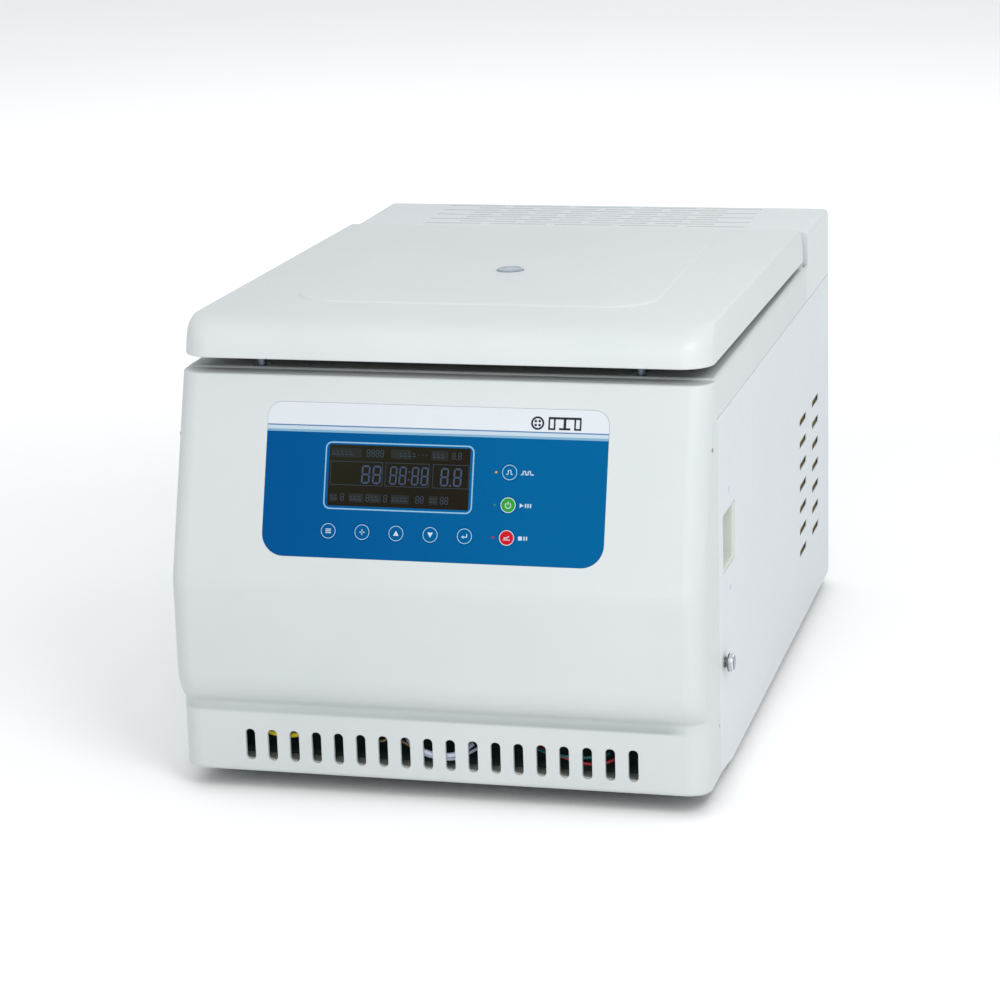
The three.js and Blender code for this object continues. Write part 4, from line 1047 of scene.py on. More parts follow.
yf = rows[nr - 3][0][1]
chamber = circle(0, 305, 188, 120)
sock = [circle(-172, 76, 7.5, 32), circle(172, 76, 7.5, 32)]
df = lambda u, v, d=0.0: (u, v, DECK_Z - d)
di = lambda u, v: (u, v, DECK_Z - 3.0)
S.cap([(xl, yf), (-xl, yf), (-xl, D_END), (-xl, HOOD_Y - 0.5), (xl, HOOD_Y - 0.5), (xl, D_END)], [offset(chamber, 1.2)] + [offset(h, 1.0) for h in sock], df, di)
S.rim(chamber, 1, 1.2, 4, df, di)
for h in sock:
    S.rim(h, 1, 1.0, 4, df, di)
make("deck_top", S.shell(), [MAT["shell"]], "casing", ["deck_cover"])

# ------------------------------------------------------------------ rear hood
S = Skin()
LOWH = P_TOP + 0.8
E = 1.4
stations = []
for k in range(4):
    a = rad(90 * k / 3)
    stations.append((HOOD_Y + E * (1 - cos(a)), E * (1 - sin(a)), HOOD_Y + 3))
for k in range(3, -1, -1):
    a = rad(90 * k / 3)
    stations.append((DEPTH - E * (1 - cos(a)), E * (1 - sin(a)), DEPTH - 3))
rows = [[(u, y, v) for u, v in arch(HOOD_Z, ins, LOWH)] for y, ins, _ in stations]
inner = [[(u, yi, v) for u, v in arch(HOOD_Z, 3.0, LOWH)] for _, _, yi in stations]
nc = len(rows[0])
jt = nc // 2 - 1
im = 3
S.grid(rows, inner, lambda i, j: i == im and j == jt)
xl = rows[im][jt][0]
ya, yb = stations[im][0], stations[im + 1][0]
hs = []
for r in range(9):
    n = 4 if r % 2 else 5
    y = 614.8 + r * 13.4
    for i in range(n):
        x = (i - (n - 1) / 2) * 70
        hs.append(rr(x - 31, x + 31, y - 2.6, y + 2.6, 2.2, 4))
hf = lambda u, v, d=0.0: (u, v, HOOD_Z - d)
hi = lambda u, v: (u, v, HOOD_Z - 3.0)
S.cap([(xl, ya), (-xl, ya), (-xl, yb), (xl, yb)], [offset(h, 0.7) for h in hs], hf, hi)
for h in hs:
    S.rim(h, 1, 0.7, 3, hf, hi)
for y, idx in ((stations[0][0], 0), (stations[-1][0], -1)):
    yi = stations[idx][2]
    S.cap([(p[0], p[2]) for p in rows[idx]], [], lambda u, v, y=y: (u, y, v),
          lambda u, v, yi=yi: (max(-HW + 3, min(HW - 3, u * (HW - 3) / (HW - E))), yi, min(v, HOOD_Z - 3)))
make("hood_cover", S.shell(), [MAT["hood"]], "casing", ["rear_hood"])
for side, nm in ((1, "right"), (-1, "left")):
    fin = prism(rr(D_END + 0.5, HOOD_Y + 1.6, LOWH, DECK_Z - 0.6, [0.4, 0.4, 0.4, 1.6], 4), lambda u, v, h, s=side: (s * h, u, v), HW - 3.0, HW - 0.02, 0, 0.3)
    make("hood_fin_" + nm, fin, [MAT["hood"]], "casing")

# ------------------------------------------------------------------ side panels
GY0, GY1, GZ0, GZ1 = 87.0, 147.0, 176.0, 230.0
for side, nm in ((1, "right"), (-1, "left")):
    holes = [rr(GY0, GY1, GZ0, GZ1, 4, 6)]
    for r in range(7):
        for y in (552, 636):
            z = 68.5 + r * 22.83
            holes.append(rr(y - 22.5, y + 22.5, z - 3.6, z + 3.6, 3.2, 6))
    if side > 0:
        holes.append(circle(88, 96, 4.2, 28))
    fo = lambda u, v, d, s=side: (s * (HW - d), u, v)
    edge = fillet([(SEAM + 0.5, 0.2), (126, -7), (DEPTH - 2, -7), (DEPTH - 2, P_TOP), (SEAM + 0.5, P_TOP)], [3, 60, 4, 0.8, 0.8], 6, closed=True)
    g = plate(edge, holes, fo, 1.2, 0.6, 4, eh=0.4)
    make("panel_" + nm, g, [MAT["panel"]], "casing", ["side_panel_" + nm])
    mat = prism(rr(524, 664, 58, 216, 3, 3), lambda u, v, h, s=side: (s * h, u, v), HW - 4.2, HW - 2.6, 0, 0.3)
    make("vent_filter_" + nm, mat, [MAT["filter"]], "casing")
    # grip cup: drafted pocket with rounded floor
    S = Skin()
    rows, inn = [], []
    o0 = rr(GY0 + 0.4, GY1 - 0.4, GZ0 + 0.4, GZ1 - 0.4, 4.4, 8)
    prof_c = [(0.0, 0.4), (0.35, 0.1), (1.0, 0.0), (2.4, 1.2), (2.8, 3.0), (3.6, 26.0), (4.4, 29.0), (6.6, 31.8), (9.5, 32.6)]
    for d, dep in prof_c:
        rows.append([(side * (HW - 0.4 - dep), u, v) for u, v in offset(o0, -d)])
        inn.append([(side * (HW - 0.6 - min(dep + 2.4, 35.2)), u, v) for u, v in offset(o0, -min(max(d - 2.4, 0.02), 4.0) if dep > 1.1 else -0.01 * (1 + d))])
    S.grid(rows, inn, closed=True)
    S.cap(offset(o0, -9.5), [], lambda u, v, s=side: (s * (HW - 0.4 - 32.6), u, v), lambda u, v, s=side: (s * (HW - 0.6 - 35.2), u, v))
    make("grip_" + nm, S.shell(), [MAT["cream"]], "casing", ["grip_cup_" + nm], sharp=45)


# screws
def screw(name, place, r, m, dome=0.5, slotw=0.8):
    prof_s = [(0, -1.2), (r * 0.6, -1.2), (r, -0.05), (r, 0.1), (r * 0.9, dome * 0.55), (r * 0.6, dome * 0.9), (0, dome)]
    g = lathe(prof_s, 32, place)
    bars = [prism(bar(-r * 0.62, 0, r * 0.62, 0, slotw), place, dome * 0.3, dome + 1.0), prism(bar(0, -r * 0.62, 0, r * 0.62, slotw), place, dome * 0.3, dome + 1.0)]
    return make(name, boolean(g, bars), [m], "casing", place=SAME, sharp=30)


k = 0
for side in (1, -1):
    for y, z, r, m in ((118, 246, 3.6, "screw_blue"), (123, 155, 3.6, "screw_blue"), (42, 300, 2.1, "zinc"), (60.0, 46, 2.1, "zinc"), (330, 8, 3.2, "panel"), (700, 30, 3.2, "panel"), (700, 300, 3.2, "panel")):
        k += 1
        screw("panel_screw_%02d" % k, lambda u, v, h, s=side, y=y, z=z: (s * (HW + h * 0.9 - 0.25), y + u, z + v), r, MAT[m], 0.5, 0.7)
for x, z in ((-226, 308), (226, 308), (-226, 12), (226, 12), (0, 308), (0, 12)):
    k += 1
    screw("panel_screw_%02d" % k, lambda u, v, h, x=x, z=z: (x + u, DEPTH - 0.35 + h * 0.6, z + v), 3.4, MAT["zinc"], 0.5, 0.8)

# release knob
kn = fillet([(0, -34), (5, -34), (5, -30), (2.6, -30), (2.6, -2), (4.9, -1.6), (4.9, 1.4), (4.4, 2.2), (4.6, 4.0), (0, 4.0)], [0, .4, .3, .3, .3, .4, .5, .4, .2, 0], 4)
kp = lambda u, v, h: (HW + h, 88 + u, 96 + v)
head = fillet([(0, 3.2), (7.4, 3.2), (8.2, 3.9), (8.2, 7.9), (7.2, 8.7), (0, 8.7)], [0, .4, .5, .7, .4, 0], 4)
fcap = fillet([(0, 8.4), (6.6, 8.4), (6.6, 8.9), (5.4, 9.2), (0, 9.4)], [0, .1, .3, .6, 0], 3)
band_k = [(7.9, 3.75), (8.3, 3.8), (8.34, 4.3), (8.3, 4.8), (7.9, 4.85)]
# one chrome knob: the collar and band take the darker copy and the end face the mid copy, both painted shade
knob = merge(lathe(kn, 56, kp, 1), lathe(head, 64, kp, 0), lathe(fcap, 56, kp, 2), lathe(band_k, 64, kp, 1))
make("release_pull_knob", knob, [MAT["bright"], MAT["chrome_dark"], MAT["chrome_face"]], "release", ["release_knob"], sharp=40)

# ------------------------------------------------------------------ lid (built closed, then set ajar)
AJAR = rad(0.6)
HY, HZ = 580.0, 380.0


def L(p):
    x, y, z = p[0], p[1] - HY, p[2] - HZ
    return W((x, HY + y * cos(AJAR) + z * sin(AJAR), HZ - y * sin(AJAR) + z * cos(AJAR)))


LT = 397.4
st = [(364.2, 238.5, 40.0, 28.0, 567.0), (372.0, 238.3, 40.9, 28.0, 567.0), (381.0, 237.9, 43.4, 27.0, 567.0), (388.2, 237.3, 48.2, 25.5, 567.0),
      (393.0, 236.5, 56.0, 23.0, 566.5), (396.0, 235.4, 67.0, 20.0, 565.4), (397.4, 233.0, 85.0, 14.0, 562.0)]
st = spline(st, 5)
S = Skin()
rows, inner = [], []
for k in range(4):
    a = rad(90 * k / 3)
    ins = 1.3 * (1 - sin(a))
    z = 364.2 + 1.3 * (1 - cos(a))
    rows.append([(u, v, z) for u, v in rr(-238.5 + ins, 238.5 - ins, 40 + ins, 567 - ins, [28 - ins, 28 - ins, 3 - ins, 3 - ins], 12)])
    inner.append([(u, v, 364.2 + 0.01 * k) for u, v in rr(-235.0, 235.0, 43.8, 563.6, [24.5, 24.5, 1.2, 1.2], 12)])
for z, hw, y0, r, y1 in st:
    if z < 366.0:
        continue
    rows.append([(u, v, z) for u, v in rr(-hw, hw, y0, y1, [r, r, 3, 3], 12)])
    t = max(0.0, min(1.0, (z - 380) / 17.4))
    inner.append([(u, v, z - 3.5 * t) for u, v in rr(-hw + 3.5, hw - 3.5, y0 + 3.8 + 2 * t, y1 - 3.4, [max(r - 3.5, 2)] * 2 + [1.2, 1.2], 12)])
S.grid(rows, inner, closed=True)


def field(d, seg=14):
    out = []
    yF, yB, xF, xB, R = 136 + d, 556.0, 168 - d, 159.5 - d, 44 - d * 0.5
    for i in range(seg + 1):
        a = rad(180 + 90 * i / seg)
        out.append((-xF + R + R * cos(a), yF + R + R * sin(a)))
    for i in range(seg + 1):
        a = rad(270 + 90 * i / seg)
        out.append((xF - R + R * cos(a), yF + R + R * sin(a)))
    out += [(xB, yB - d), (-xB, yB - d)]
    return out


border = [(p[0], p[1]) for p in rows[-1]]
lin_in = lambda u, v: (u * 0.985, 305 + (v - 305) * 0.985, LT - 3.5)
S.cap(border, [field(0)], lambda u, v: (u, v, LT), lin_in)
fr, fi_ = [], []
for k in range(8):
    t = k / 7
    f = field(3.2 * t)
    fr.append([(u, v, LT + 1.6 * (t * t * (3 - 2 * t))) for u, v in f])
    fi_.append([(u * 0.985, 305 + (v - 305) * 0.985, LT - 3.5) for u, v in f])
S.grid(fr, fi_, closed=True)
hole = circle(0, 305, 12.9, 56)
top = LT + 1.6
S.cap(field(3.2), [offset(hole, 0.6)], lambda u, v: (u, v, top), lin_in)
S.rim(hole, 1, 0.6, 3, lambda u, v, d: (u, v, top - d), lin_in)
geo = S.shell()
cutters = [boxp(174.5, 195.5, 559, 572, 358, 391.5, 0), boxp(-195.5, -174.5, 559, 572, 358, 391.5, 0)]
cutters = [prism([(a, 558), (b, 558), (b, 573), (a, 573)], lambda u, v, h: (u, v, h), 358, 391.5) for a, b in ((174.5, 195.5), (-195.5, -174.5))]
make("lid_cover", boolean(geo, cutters, place=L), [MAT["lid"]], "lid", ["lid_shell"], place=SAME, sharp=32)

# sight glass with a raised rim
sg = fillet([(0, 365.4), (11.6, 365.4), (11.6, 396.4), (12.4, 396.4), (12.4, 400.2), (11.6, 400.8), (10.4, 400.8), (9.8, 400.2), (0, 400.4)],
            [0, .3, .2, .2, .8, .4, .4, .4, 0], 3)
make("sight_window", lathe(sg, 64, lambda u, v, h: (u, 305 + v, h)), [MAT["glass"]], "lid", ["sight_glass"], place=L, sharp=40)
# liner: steel sheet with holes for the sight glass and latch pins, notched at the hinge arms
lo = rr(-233.5, 233.5, 48, 559, [22, 22, 4, 4], 10)
hl = [circle(0, 305, 12, 40), circle(-172, 76, 4.6, 20), circle(172, 76, 4.6, 20)]
ln = plate([(a, b) for a, b in lo], [h for h in hl], lambda u, v, d: (u, v, 366.0 + d), 2.0, 0.4, 2)
ln = boolean(ln, [prism([(a, 529), (b, 529), (b, 562), (a, 562)], lambda u, v, h: (u, v, h), 360, 372) for a, b in ((173.5, 196.5), (-196.5, -173.5))], place=L)
make("lid_liner_sheet", ln, [MAT["liner"]], "lid", ["lid_liner"], place=SAME, sharp=30)
for nm, x in (("left", -172), ("right", 172)):
    pr = fillet([(0, 336.9), (2.8, 336.9), (4.2, 338.4), (4.2, 339.0), (2.2, 339.3), (2.2, 342), (4, 342.8), (4, 368.4), (7.5, 368.4), (7.5, 371), (0, 371)],
                [0, .8, .4, .2, .3, .4, .4, .1, .3, .4, 0], 3)
    make("latch_pin_" + nm + "_turned", lathe(pr, 32, lambda u, v, h, x=x: (x + u, 76 + v, h)), [MAT["pin"]], "lid", ["latch_pin_" + nm], place=L, sharp=40)

# ------------------------------------------------------------------ hinge: arms, brackets, springs
for side, nm in ((-1, "left"), (1, "right")):
    x = 185 * side
    out = fillet([(515, 370), (HY, 370), (HY + 0.01, 371)], 0, 3)
    arm = []
    for i in range(25):
        a = rad(-90 + 180 * i / 24)
        arm.append((HY + 9.2 * cos(a), HZ + 9.2 * sin(a)))
    arm = [(515, 370)] + [(HY - 6, 370)] + [(p[0], p[1]) for p in arm if True] + [(HY - 10, 386), (515, 386)]
    g = prism(arm, lambda u, v, h: (h, u, v), x - 7, x + 7, 0, 0.0)
    g = boolean(g, [prism(circle(HY, HZ, 5.4, 40), lambda u, v, h: (h, u, v), x - 12, x + 12)], place=L, bevel=0.7)
    make("hinge_arm_" + nm + "_cast", g, [MAT["zinc"]], "lid", ["hinge_arm_" + nm], place=SAME, sharp=40)
    x = 205 * side
    br = [(HY - 8, DECK_Z + 0.3), (HY + 8, DECK_Z + 0.3), (HY + 8.5, HZ)] + [(HY + 8.5 * cos(rad(a)), HZ + 8.5 * sin(rad(a))) for a in range(8, 180, 8)] + [(HY - 8.5, HZ)]
    g = boolean(prism(br, lambda u, v, h: (h, u, v), x - 4, x + 4), [prism(rr(HY - 9, HY + 10, DECK_Z + 0.3, DECK_Z + 3.5, 0.5, 2), lambda u, v, h: (h, u, v), x - 11, x + 11)], op="UNION")
    g = boolean(g, [tuple([[W(q) for q in prism(circle(HY, HZ, 5.4, 40), lambda u, v, h: (h, u, v), x - 12, x + 12)[0]]] + list(prism(circle(HY, HZ, 5.4, 40), lambda u, v, h: (h, u, v), x - 12, x + 12)[1:]))], place=SAME, bevel=0.6)
    make("hinge_bracket_" + nm + "_cast", g, [MAT["zinc"]], "casing", ["hinge_bracket_" + nm], place=SAME, sharp=40)
    path = []
    x0, x1 = (154, 172) if side > 0 else (-172, -154)
    for i in range(4 * 28 + 1):
        a = i / 28 * 2 * math.pi
        path.append((x0 + (x1 - x0) * i / 112, HY + 7.2 * cos(a), HZ + 7.2 * sin(a)))
    make("lid_spring_" + nm + "_wound", tube(path, 1.0, 10), [MAT["spring"]], "casing", ["lid_spring_" + nm], sharp=60)
sh = fillet([(0, -216), (5, -216), (5, 216), (0, 216)], [0, 1, 1, 0], 3)
make("hinge_shaft_turned", lathe(sh, 32, lambda u, v, h: (h, HY + u, HZ + v)), [MAT["bright"]], "casing", ["hinge_shaft"], sharp=40)

# latch bar
lb = plate(rr(-192, 190, 67, 85, 2, 4), [circle(-175.2, 76, 6, 32), circle(168.8, 76, 6, 32)], lambda u, v, d: (u, v, 341.6 - d), 2.0, 0.3, 2)
make("latch_bar_sheet", lb, [MAT["steel"]], "latch", ["latch_bar"])

# ------------------------------------------------------------------ chamber
BR, BL, BW = 184.0, 150.0, 1.6
bp = fillet([(26, BL), (BR - 21, BL), (BR + BW, BL + 24), (BR + BW, 352.2), (BR + 11, 352.2), (BR + 11, 353.9), (BR, 353.9), (BR, BL + 25.4), (BR - 21.6, BL + BW), (26, BL + BW)],
            [0.3, 26, 24, 0.8, 0.5, 0.7, 1.6, 22, 25, 0.3], 8, closed=True)
make("chamber_bowl_spun", lathe(bp, 128, lambda u, v, h: (u, 305 + v, h)), [MAT["bowl"]], "casing", ["chamber_bowl"], sharp=50)
gp = fillet([(BR + 2.6, 354.3), (BR + 3.6, 354.3), (BR + 3.6, DECK_Z + 0.4), (BR + 12, DECK_Z + 0.4), (BR + 12, DECK_Z + 3), (BR + 7, 365), (BR + 3, 365)],
            [0.2, 0.2, 0.2, 0.4, 1.4, 2.2, 1.6], 5, closed=True)
make("chamber_seal", lathe(gp, 128, lambda u, v, h: (u, 305 + v, h)), [MAT["seal"]], "casing", ["chamber_gasket"], sharp=50)

# ------------------------------------------------------------------ rotor
PR, PZ, BKR = 88.0, 258.0, 32.0
yk = fillet([(8.4, PZ - 16), (26, PZ - 16), (30, PZ - 9), (112, PZ - 9), (114, PZ - 7), (114, PZ + 7), (112, PZ + 9), (30, PZ + 9), (24, PZ + 22), (8.4, PZ + 22)],
            [0.5, 1, 3, 0, 1.5, 1.5, 0, 4, 2, 0.8], 4, closed=True)
yoke = lathe(yk, 96, lambda u, v, h: (u, 305 + v, h))
cutters = []
for a in (0, 90, 180, 270):
    ca, sa = cos(rad(a)), sin(rad(a))
    rot = lambda u, v, h, ca=ca, sa=sa: (u * ca - v * sa, 305 + u * sa + v * ca, h)
    cutters.append(prism(rr(48, 130, -BKR - 3, BKR + 3, [9, 0.5, 0.5, 9], 5), rot, PZ - 30, PZ + 40))
    cutters.append(prism([(PR - 5.6, -47), (PR + 5.6, -47), (PR + 5.6, 47), (PR - 5.6, 47)], rot, PZ, PZ + 40))
    cutters.append(prism(circle(0, 0, 5.6, 28), lambda u, v, h, ca=ca, sa=sa: ((PR + u) * ca - h * sa, 305 + (PR + u) * sa + h * ca, PZ + v), -47, 47))
make("rotor_yoke_milled", boolean(yoke, cutters, bevel=0.6), [MAT["alloy"]], "rotor", ["rotor_yoke"], place=SAME, sharp=32)
nut = lathe(fillet([(0, PZ + 22.4), (15, PZ + 22.4), (15, PZ + 34), (10, PZ + 38), (0, PZ + 38)], [0, 0.6, 1.0, 1.2, 0], 3), 6, lambda u, v, h: (u, 305 + v, h))
make("rotor_nut_hex", nut, [MAT["black"]], "rotor", ["rotor_nut"], sharp=25)
shf = fillet([(0, 126.4), (8, 126.4), (8, 276), (0, 276)], [0, 1, 1, 0], 3)
make("motor_shaft_turned", lathe(shf, 40, lambda u, v, h: (u, 305 + v, h)), [MAT["bright"]], "rotor", ["motor_shaft"], sharp=40)
for i, a in enumerate((0, 90, 180, 270)):
    ca, sa = cos(rad(a)), sin(rad(a))
    pl = lambda u, v, h, ca=ca, sa=sa: ((PR + u) * ca - v * sa, 305 + (PR + u) * sa + v * ca, PZ + h)
    cup = lathe(fillet([(0, -80), (27, -80), (30.5, -76), (32, -68), (32, 20), (28.5, 20), (28.5, -66), (26, -75), (0, -76)], [0, 3, 2, 3, 1.2, 1.0, 4, 4, 0], 4), 56, pl)
    pins = [lathe(fillet([(0, 28.6 * s), (4.8, 28.6 * s), (4.8, 45.5 * s), (0, 45.5 * s)], [0, 0, 0.8, 0], 3), 28, lambda u, v, h, pl=pl: pl(u, h, v)) for s in (-1, 1)]
    pins += [lathe(fillet([(0, 30.6 * s), (8.4, 30.6 * s), (6.6, 34.0 * s), (0, 34.0 * s)], [0, 0.4, 0.8, 0], 3), 28, lambda u, v, h, pl=pl: pl(u, h, v)) for s in (-1, 1)]
    rim = lathe([(32.0, 16.4), (32.9, 16.9), (33.0, 18.6), (32.4, 19.4), (31.6, 19.4), (31.6, 16.4)], 56, pl)
    make("bucket_%d_cup" % (i + 1), merge(cup, *pins), [MAT["alloy"]], "bucket_%d_body" % (i + 1), ["bucket_%d" % (i + 1)], sharp=40)

# ------------------------------------------------------------------ rear panel, inlet, switch, feet
INL, ROC = (-150, 62, 28, 22), (-92, 62, 22, 30)
holes = [rr(c[0] - c[2] / 2 - 0.4, c[0] + c[2] / 2 + 0.4, c[1] - c[3] / 2 - 0.4, c[1] + c[3] / 2 + 0.4, 1.0, 3) for c in (INL, ROC)]
for r in range(5):
    for x in (40, 110, 180):
        holes.append(rr(x - 30, x + 30, 120 + r * 22 - 2.8, 120 + r * 22 + 2.8, 2.6, 5))
rp = plate(rr(-HW, HW, -7, P_TOP, [4, 4, 0.8, 0.8], 6), holes, lambda u, v, d: (u, DEPTH - d, v), 1.6, 0.6, 3, eh=0.35)
make("back_panel", rp, [MAT["panel"]], "casing", ["rear_panel"])
x, z, w, h = INL
S = Skin()
cav = [(x - 11, z + 7.5 - 4), (x - 11, z - 7.5), (x + 11, z - 7.5), (x + 11, z + 7.5 - 4), (x + 7, z + 7.5), (x - 7, z + 7.5)]
sock_o = fillet(cav, 1.0, 3, closed=True)
g1 = plate(rr(x - w / 2, x + w / 2, z - h / 2, z + h / 2, 1.6, 4), [sock_o], lambda u, v, d: (u, DEPTH - d, v), 18.0, 0.5, 3)
g2 = prism(rr(x - w / 2, x + w / 2, z - h / 2, z + h / 2, 1.6, 4), lambda u, v, q: (u, q, v), DEPTH - 26, DEPTH - 18.0)
g3 = plate(rr(x - w / 2 - 4, x + w / 2 + 4, z - h / 2 - 4, z + h / 2 + 4, 3, 4), [rr(x - w / 2 + 0.1, x + w / 2 - 0.1, z - h / 2 + 0.1, z + h / 2 - 0.1, 1.5, 4)], lambda u, v, d: (u, DEPTH - 2 - d, v), 3.0, 0.3, 2, eh=0.02)
blades = [prism(rr(x + dx - 1.0, x + dx + 1.0, z + dz - 2.0, z + dz + 2.0, 0.4, 2), lambda u, v, q: (u, q, v), DEPTH - 18.2, DEPTH - 3.0, 1, 0.3) for dx, dz in ((-7, -2), (7, -2), (0, 2.4))]
make("mains_inlet", merge(g1, g2, g3, *blades), [MAT["black"], MAT["brass"]], "casing", ["power_inlet"], sharp=35)
x, z, w, h = ROC
g1 = plate(rr(x - w / 2, x + w / 2, z - h / 2, z + h / 2, 1.4, 4), [rr(x - 8.5, x + 8.5, z - 12.5, z + 12.5, 0.8, 3)], lambda u, v, d: (u, DEPTH - d, v), 18.0, 0.6, 3)
g2 = prism(rr(x - w / 2, x + w / 2, z - h / 2, z + h / 2, 1.4, 4), lambda u, v, q: (u, q, v), DEPTH - 22, DEPTH - 18.0)
g3 = plate(rr(x - w / 2 - 3, x + w / 2 + 3, z - h / 2 - 3, z + h / 2 + 3, 2, 4), [rr(x - w / 2 + 0.1, x + w / 2 - 0.1, z - h / 2 + 0.1, z + h / 2 - 0.1, 1.3, 4)], lambda u, v, d: (u, DEPTH - 2 - d, v), 3.0, 0.3, 2, eh=0.02)
make("mains_switch_frame", merge(g1, g2, g3), [MAT["black"]], "casing", ["switch_frame"], sharp=35)
rk = fillet([(DEPTH - 13, z - 8), (DEPTH - 1.6, z - 10.8), (DEPTH - 3.2, z), (DEPTH - 0.2, z + 10.4), (DEPTH - 13, z + 8)], [1, 0.7, 3, 0.7, 1], 4, closed=True)
rocker = prism(rk, lambda u, v, q: (q, u, v), x - 7.8, x + 7.8, 0, 0.35)
mark = [prism(arc(z - 5.6, x, 2.0, 0, 359.9, 0.7, 24), lambda u, v, q: (v, DEPTH - 2.45 + q + (z - 5.6 - u) * -0.148 * -1 * 0.0, u), 0.0, 0.45, 1)]
make("mains_rocker_key", rocker, [MAT["rocker"], MAT["ring"]], "mains_rocker", ["power_switch"], sharp=35)
ft = fillet([(0, -19.5), (18, -19.5), (19, -18.5), (21, -7.3), (0, -7.3)], [0, 1.5, 1.2, 0.8, 0], 4)
for nm, fx, fy in (("foot_front_left", -190, 88), ("foot_front_right", 190, 88), ("foot_rear_left", -190, 690), ("foot_rear_right", 190, 690)):
    make(nm + "_pad", lathe(ft, 48, lambda u, v, h, fx=fx, fy=fy: (fx + u, fy + v, h)), [MAT["rubber"]], "casing", [nm], sharp=40)

# wiring glimpsed through the front slots, fixed to the module behind the kick plate
wires = [("wire_yellow", "wy", [(-188, 16, 49), (-174, 12, 41.5), (-160, 11, 35.2), (-148, 10.5, 33.6), (-137, 10.5, 33.4), (-127, 12, 36.5), (-117, 16, 43), (-108, 22, 50)], 2.5),
         ("wire_brown", "wb", [(-74, 18, 46), (-64, 12, 36), (-56, 10.5, 32), (-46, 10.5, 36), (-36, 12, 32), (-26, 16, 24), (-18, 22, 18)], 1.1),
         ("wire_white", "ww", [(-40, 26, 40), (-30, 15, 31), (-20, 10.5, 26.5), (-8, 9.5, 23), (4, 9.5, 22.4), (14, 11, 24.5), (26, 20, 31)], 2.3),
         ("wire_white_b", "ww", [(-38, 28, 33), (-28, 16, 28), (-18, 12, 22), (-6, 11, 19.4), (6, 11, 18.6), (16, 13, 20.5), (30, 24, 26)], 1.4),
         ("wire_red", "wr", [(70, 34, 40), (84, 20, 34), (100, 13, 29), (112, 11, 26), (126, 10.5, 22.5), (140, 10.5, 22.2), (152, 12, 25), (166, 24, 31)], 1.3),
         ("wire_green", "wg", [(66, 34, 40), (78, 20, 35), (92, 12, 30.5), (106, 11, 28), (120, 11, 27.2), (134, 12, 27.6), (150, 18, 30)], 1.5)]
# the tray catches light through the slots; the dark sheet behind it is painted shade for the inside of the casing
tray = merge(prism([(4.2, 11.8), (36.0, 6.0), (36.0, 5.0), (4.2, 10.8)], lambda u, v, h: (h, u, v), -213.0, 213.0, 0, 0.15),
             prism([(43.2, -2.0), (44.2, -2.0), (44.2, 62.0), (43.2, 62.0)], lambda u, v, h: (h, u, v), -213.0, 213.0, 1, 0.15))
make("kick_tray_sheet", tray, [MAT["tray"], MAT["backing"]], "casing", sharp=30)
for nm, mt, pts, r in wires:
    make(nm, tube(spline(pts, 8), r, 12), [MAT[mt]], "casing", sharp=60)

# ------------------------------------------------------------------ carried-over CAD nodes get their own finish
keep = {"motor": "motor", "motor_frame": "zinc", "motor_damper": "rubber", "chamber_insulation": "foam", "compressor": "comp", "condenser": "fins",
        "fan_shroud": "black", "condenser_fan": "black", "power_module": "module", "control_board": "board", "base_pan": "zinc"}
for n, mt in keep.items():
    o = NODES[n]
    o.data.materials.clear()
    o.data.materials.append(MAT[mt])
    if n in ("motor", "compressor", "motor_damper", "chamber_insulation"):
        o.data.polygons.foreach_set("use_smooth", [True] * len(o.data.polygons))
    b = o.modifiers.new("edge", "BEVEL")
    b.width, b.segments, b.limit_method, b.angle_limit = 0.0008, 2, "ANGLE", rad(50)
    b.use_clamp_overlap = True

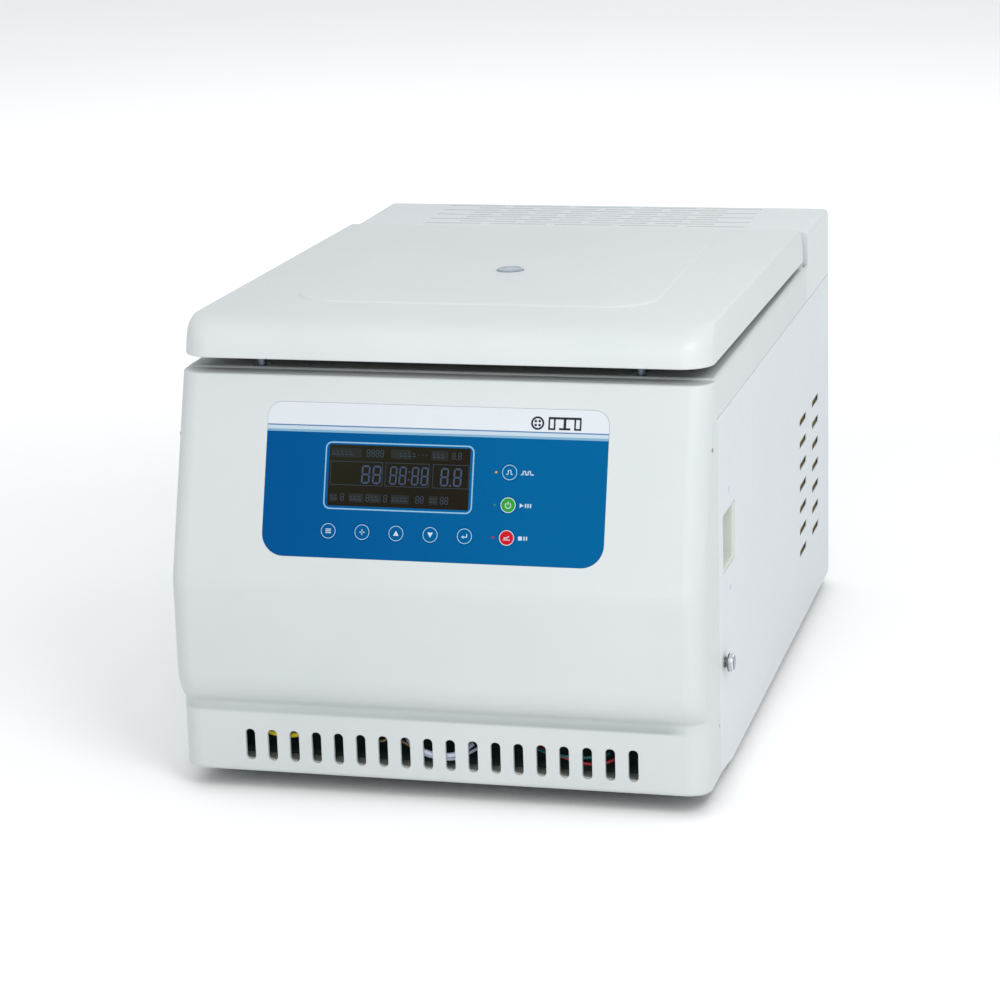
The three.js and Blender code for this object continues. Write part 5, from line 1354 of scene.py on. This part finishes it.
# ------------------------------------------------------------------ floor, light, camera
fm, t, b, oc = base("floor_pale")
t.links.new(ramp(t, noise(t, oc, 1.5, 2, 0.5), [(0.3, (0.955, 0.955, 0.955, 1)), (0.7, (0.965, 0.965, 0.965, 1))]), b.inputs["Base Color"])
b.inputs["Roughness"].default_value = 0.85
b.inputs["Specular IOR Level"].default_value = 0.1
me = bpy.data.meshes.new("floor")
me.from_pydata([(-40, -40, 0), (40, -40, 0), (40, 40, 0), (-40, 40, 0)], [], [(0, 1, 2, 3)])
me.materials.append(fm)
fl = bpy.data.objects.new("floor", me)
bpy.context.scene.collection.objects.link(fl)
fl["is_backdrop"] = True

w = bpy.data.worlds.new("studio")
w.use_nodes = True
bg = w.node_tree.nodes["Background"]
bg.inputs[0].default_value = (0.96, 0.985, 1.0, 1)
bg.inputs[1].default_value = 0.82
bpy.context.scene.world = w


def area(name, loc, target, size, power, color=(1, 1, 1), size_y=None):
    ld = bpy.data.lights.new(name, "AREA")
    ld.energy, ld.size, ld.color = power, size, color
    if size_y:
        ld.shape, ld.size_y = "RECTANGLE", size_y
    o = bpy.data.objects.new(name, ld)
    o.location = loc
    o.rotation_euler = (Vector(target) - Vector(loc)).to_track_quat("-Z", "Y").to_euler()
    bpy.context.scene.collection.objects.link(o)
    return o


AIM = (0, -0.1, 0.22)
area("key", (1.0, -1.4, 1.5), AIM, 0.8, 14.6, (1.0, 0.995, 0.985))
area("front", (0.3, -2.4, 1.2), AIM, 0.8, 7.8)
area("rear", (0.3, 2.4, 2.0), AIM, 1.6, 6.2)
area("side", (1.8, 1.4, 0.8), AIM, 1.0, 2.7)
area("top", (0, 0, 2.6), AIM, 2.0, 5.2)
area("backdrop", (-0.6, 2.2, 2.6), (-2.4, 6.5, 0), 2.5, 46)

AZ, EL, ROLL, F = 0.2535345495604483, 0.261511315848723, -0.029779546905853892, 3040.8399600253974
fw = Vector((-sin(AZ) * cos(EL), cos(AZ) * cos(EL), -sin(EL)))
right = Vector((cos(AZ), sin(AZ), 0))
up = right.cross(fw)
r2 = right * cos(ROLL) + up * sin(ROLL)
u2 = -right * sin(ROLL) + up * cos(ROLL)
cd = bpy.data.cameras.new("camera")
cd.sensor_width = 36.0
cd.lens = F * 1.0035 / 1000.0 * 36.0
cd.shift_x = 0.0006
cd.clip_start, cd.clip_end = 0.1, 200
cam = bpy.data.objects.new("camera", cd)
m = Matrix((r2, u2, -fw)).transposed().to_4x4()
m.translation = Vector(W((694.9967723215391, -2443.493332063013, 936.5583352534057)))
cam.matrix_world = m
bpy.context.scene.collection.objects.link(cam)
bpy.context.scene.camera = cam
vs = bpy.context.scene.view_settings
vs.view_transform = "Standard"
vs.look = "None"
vs.exposure = 0.0
vs.gamma = 1.0

lo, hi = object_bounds()
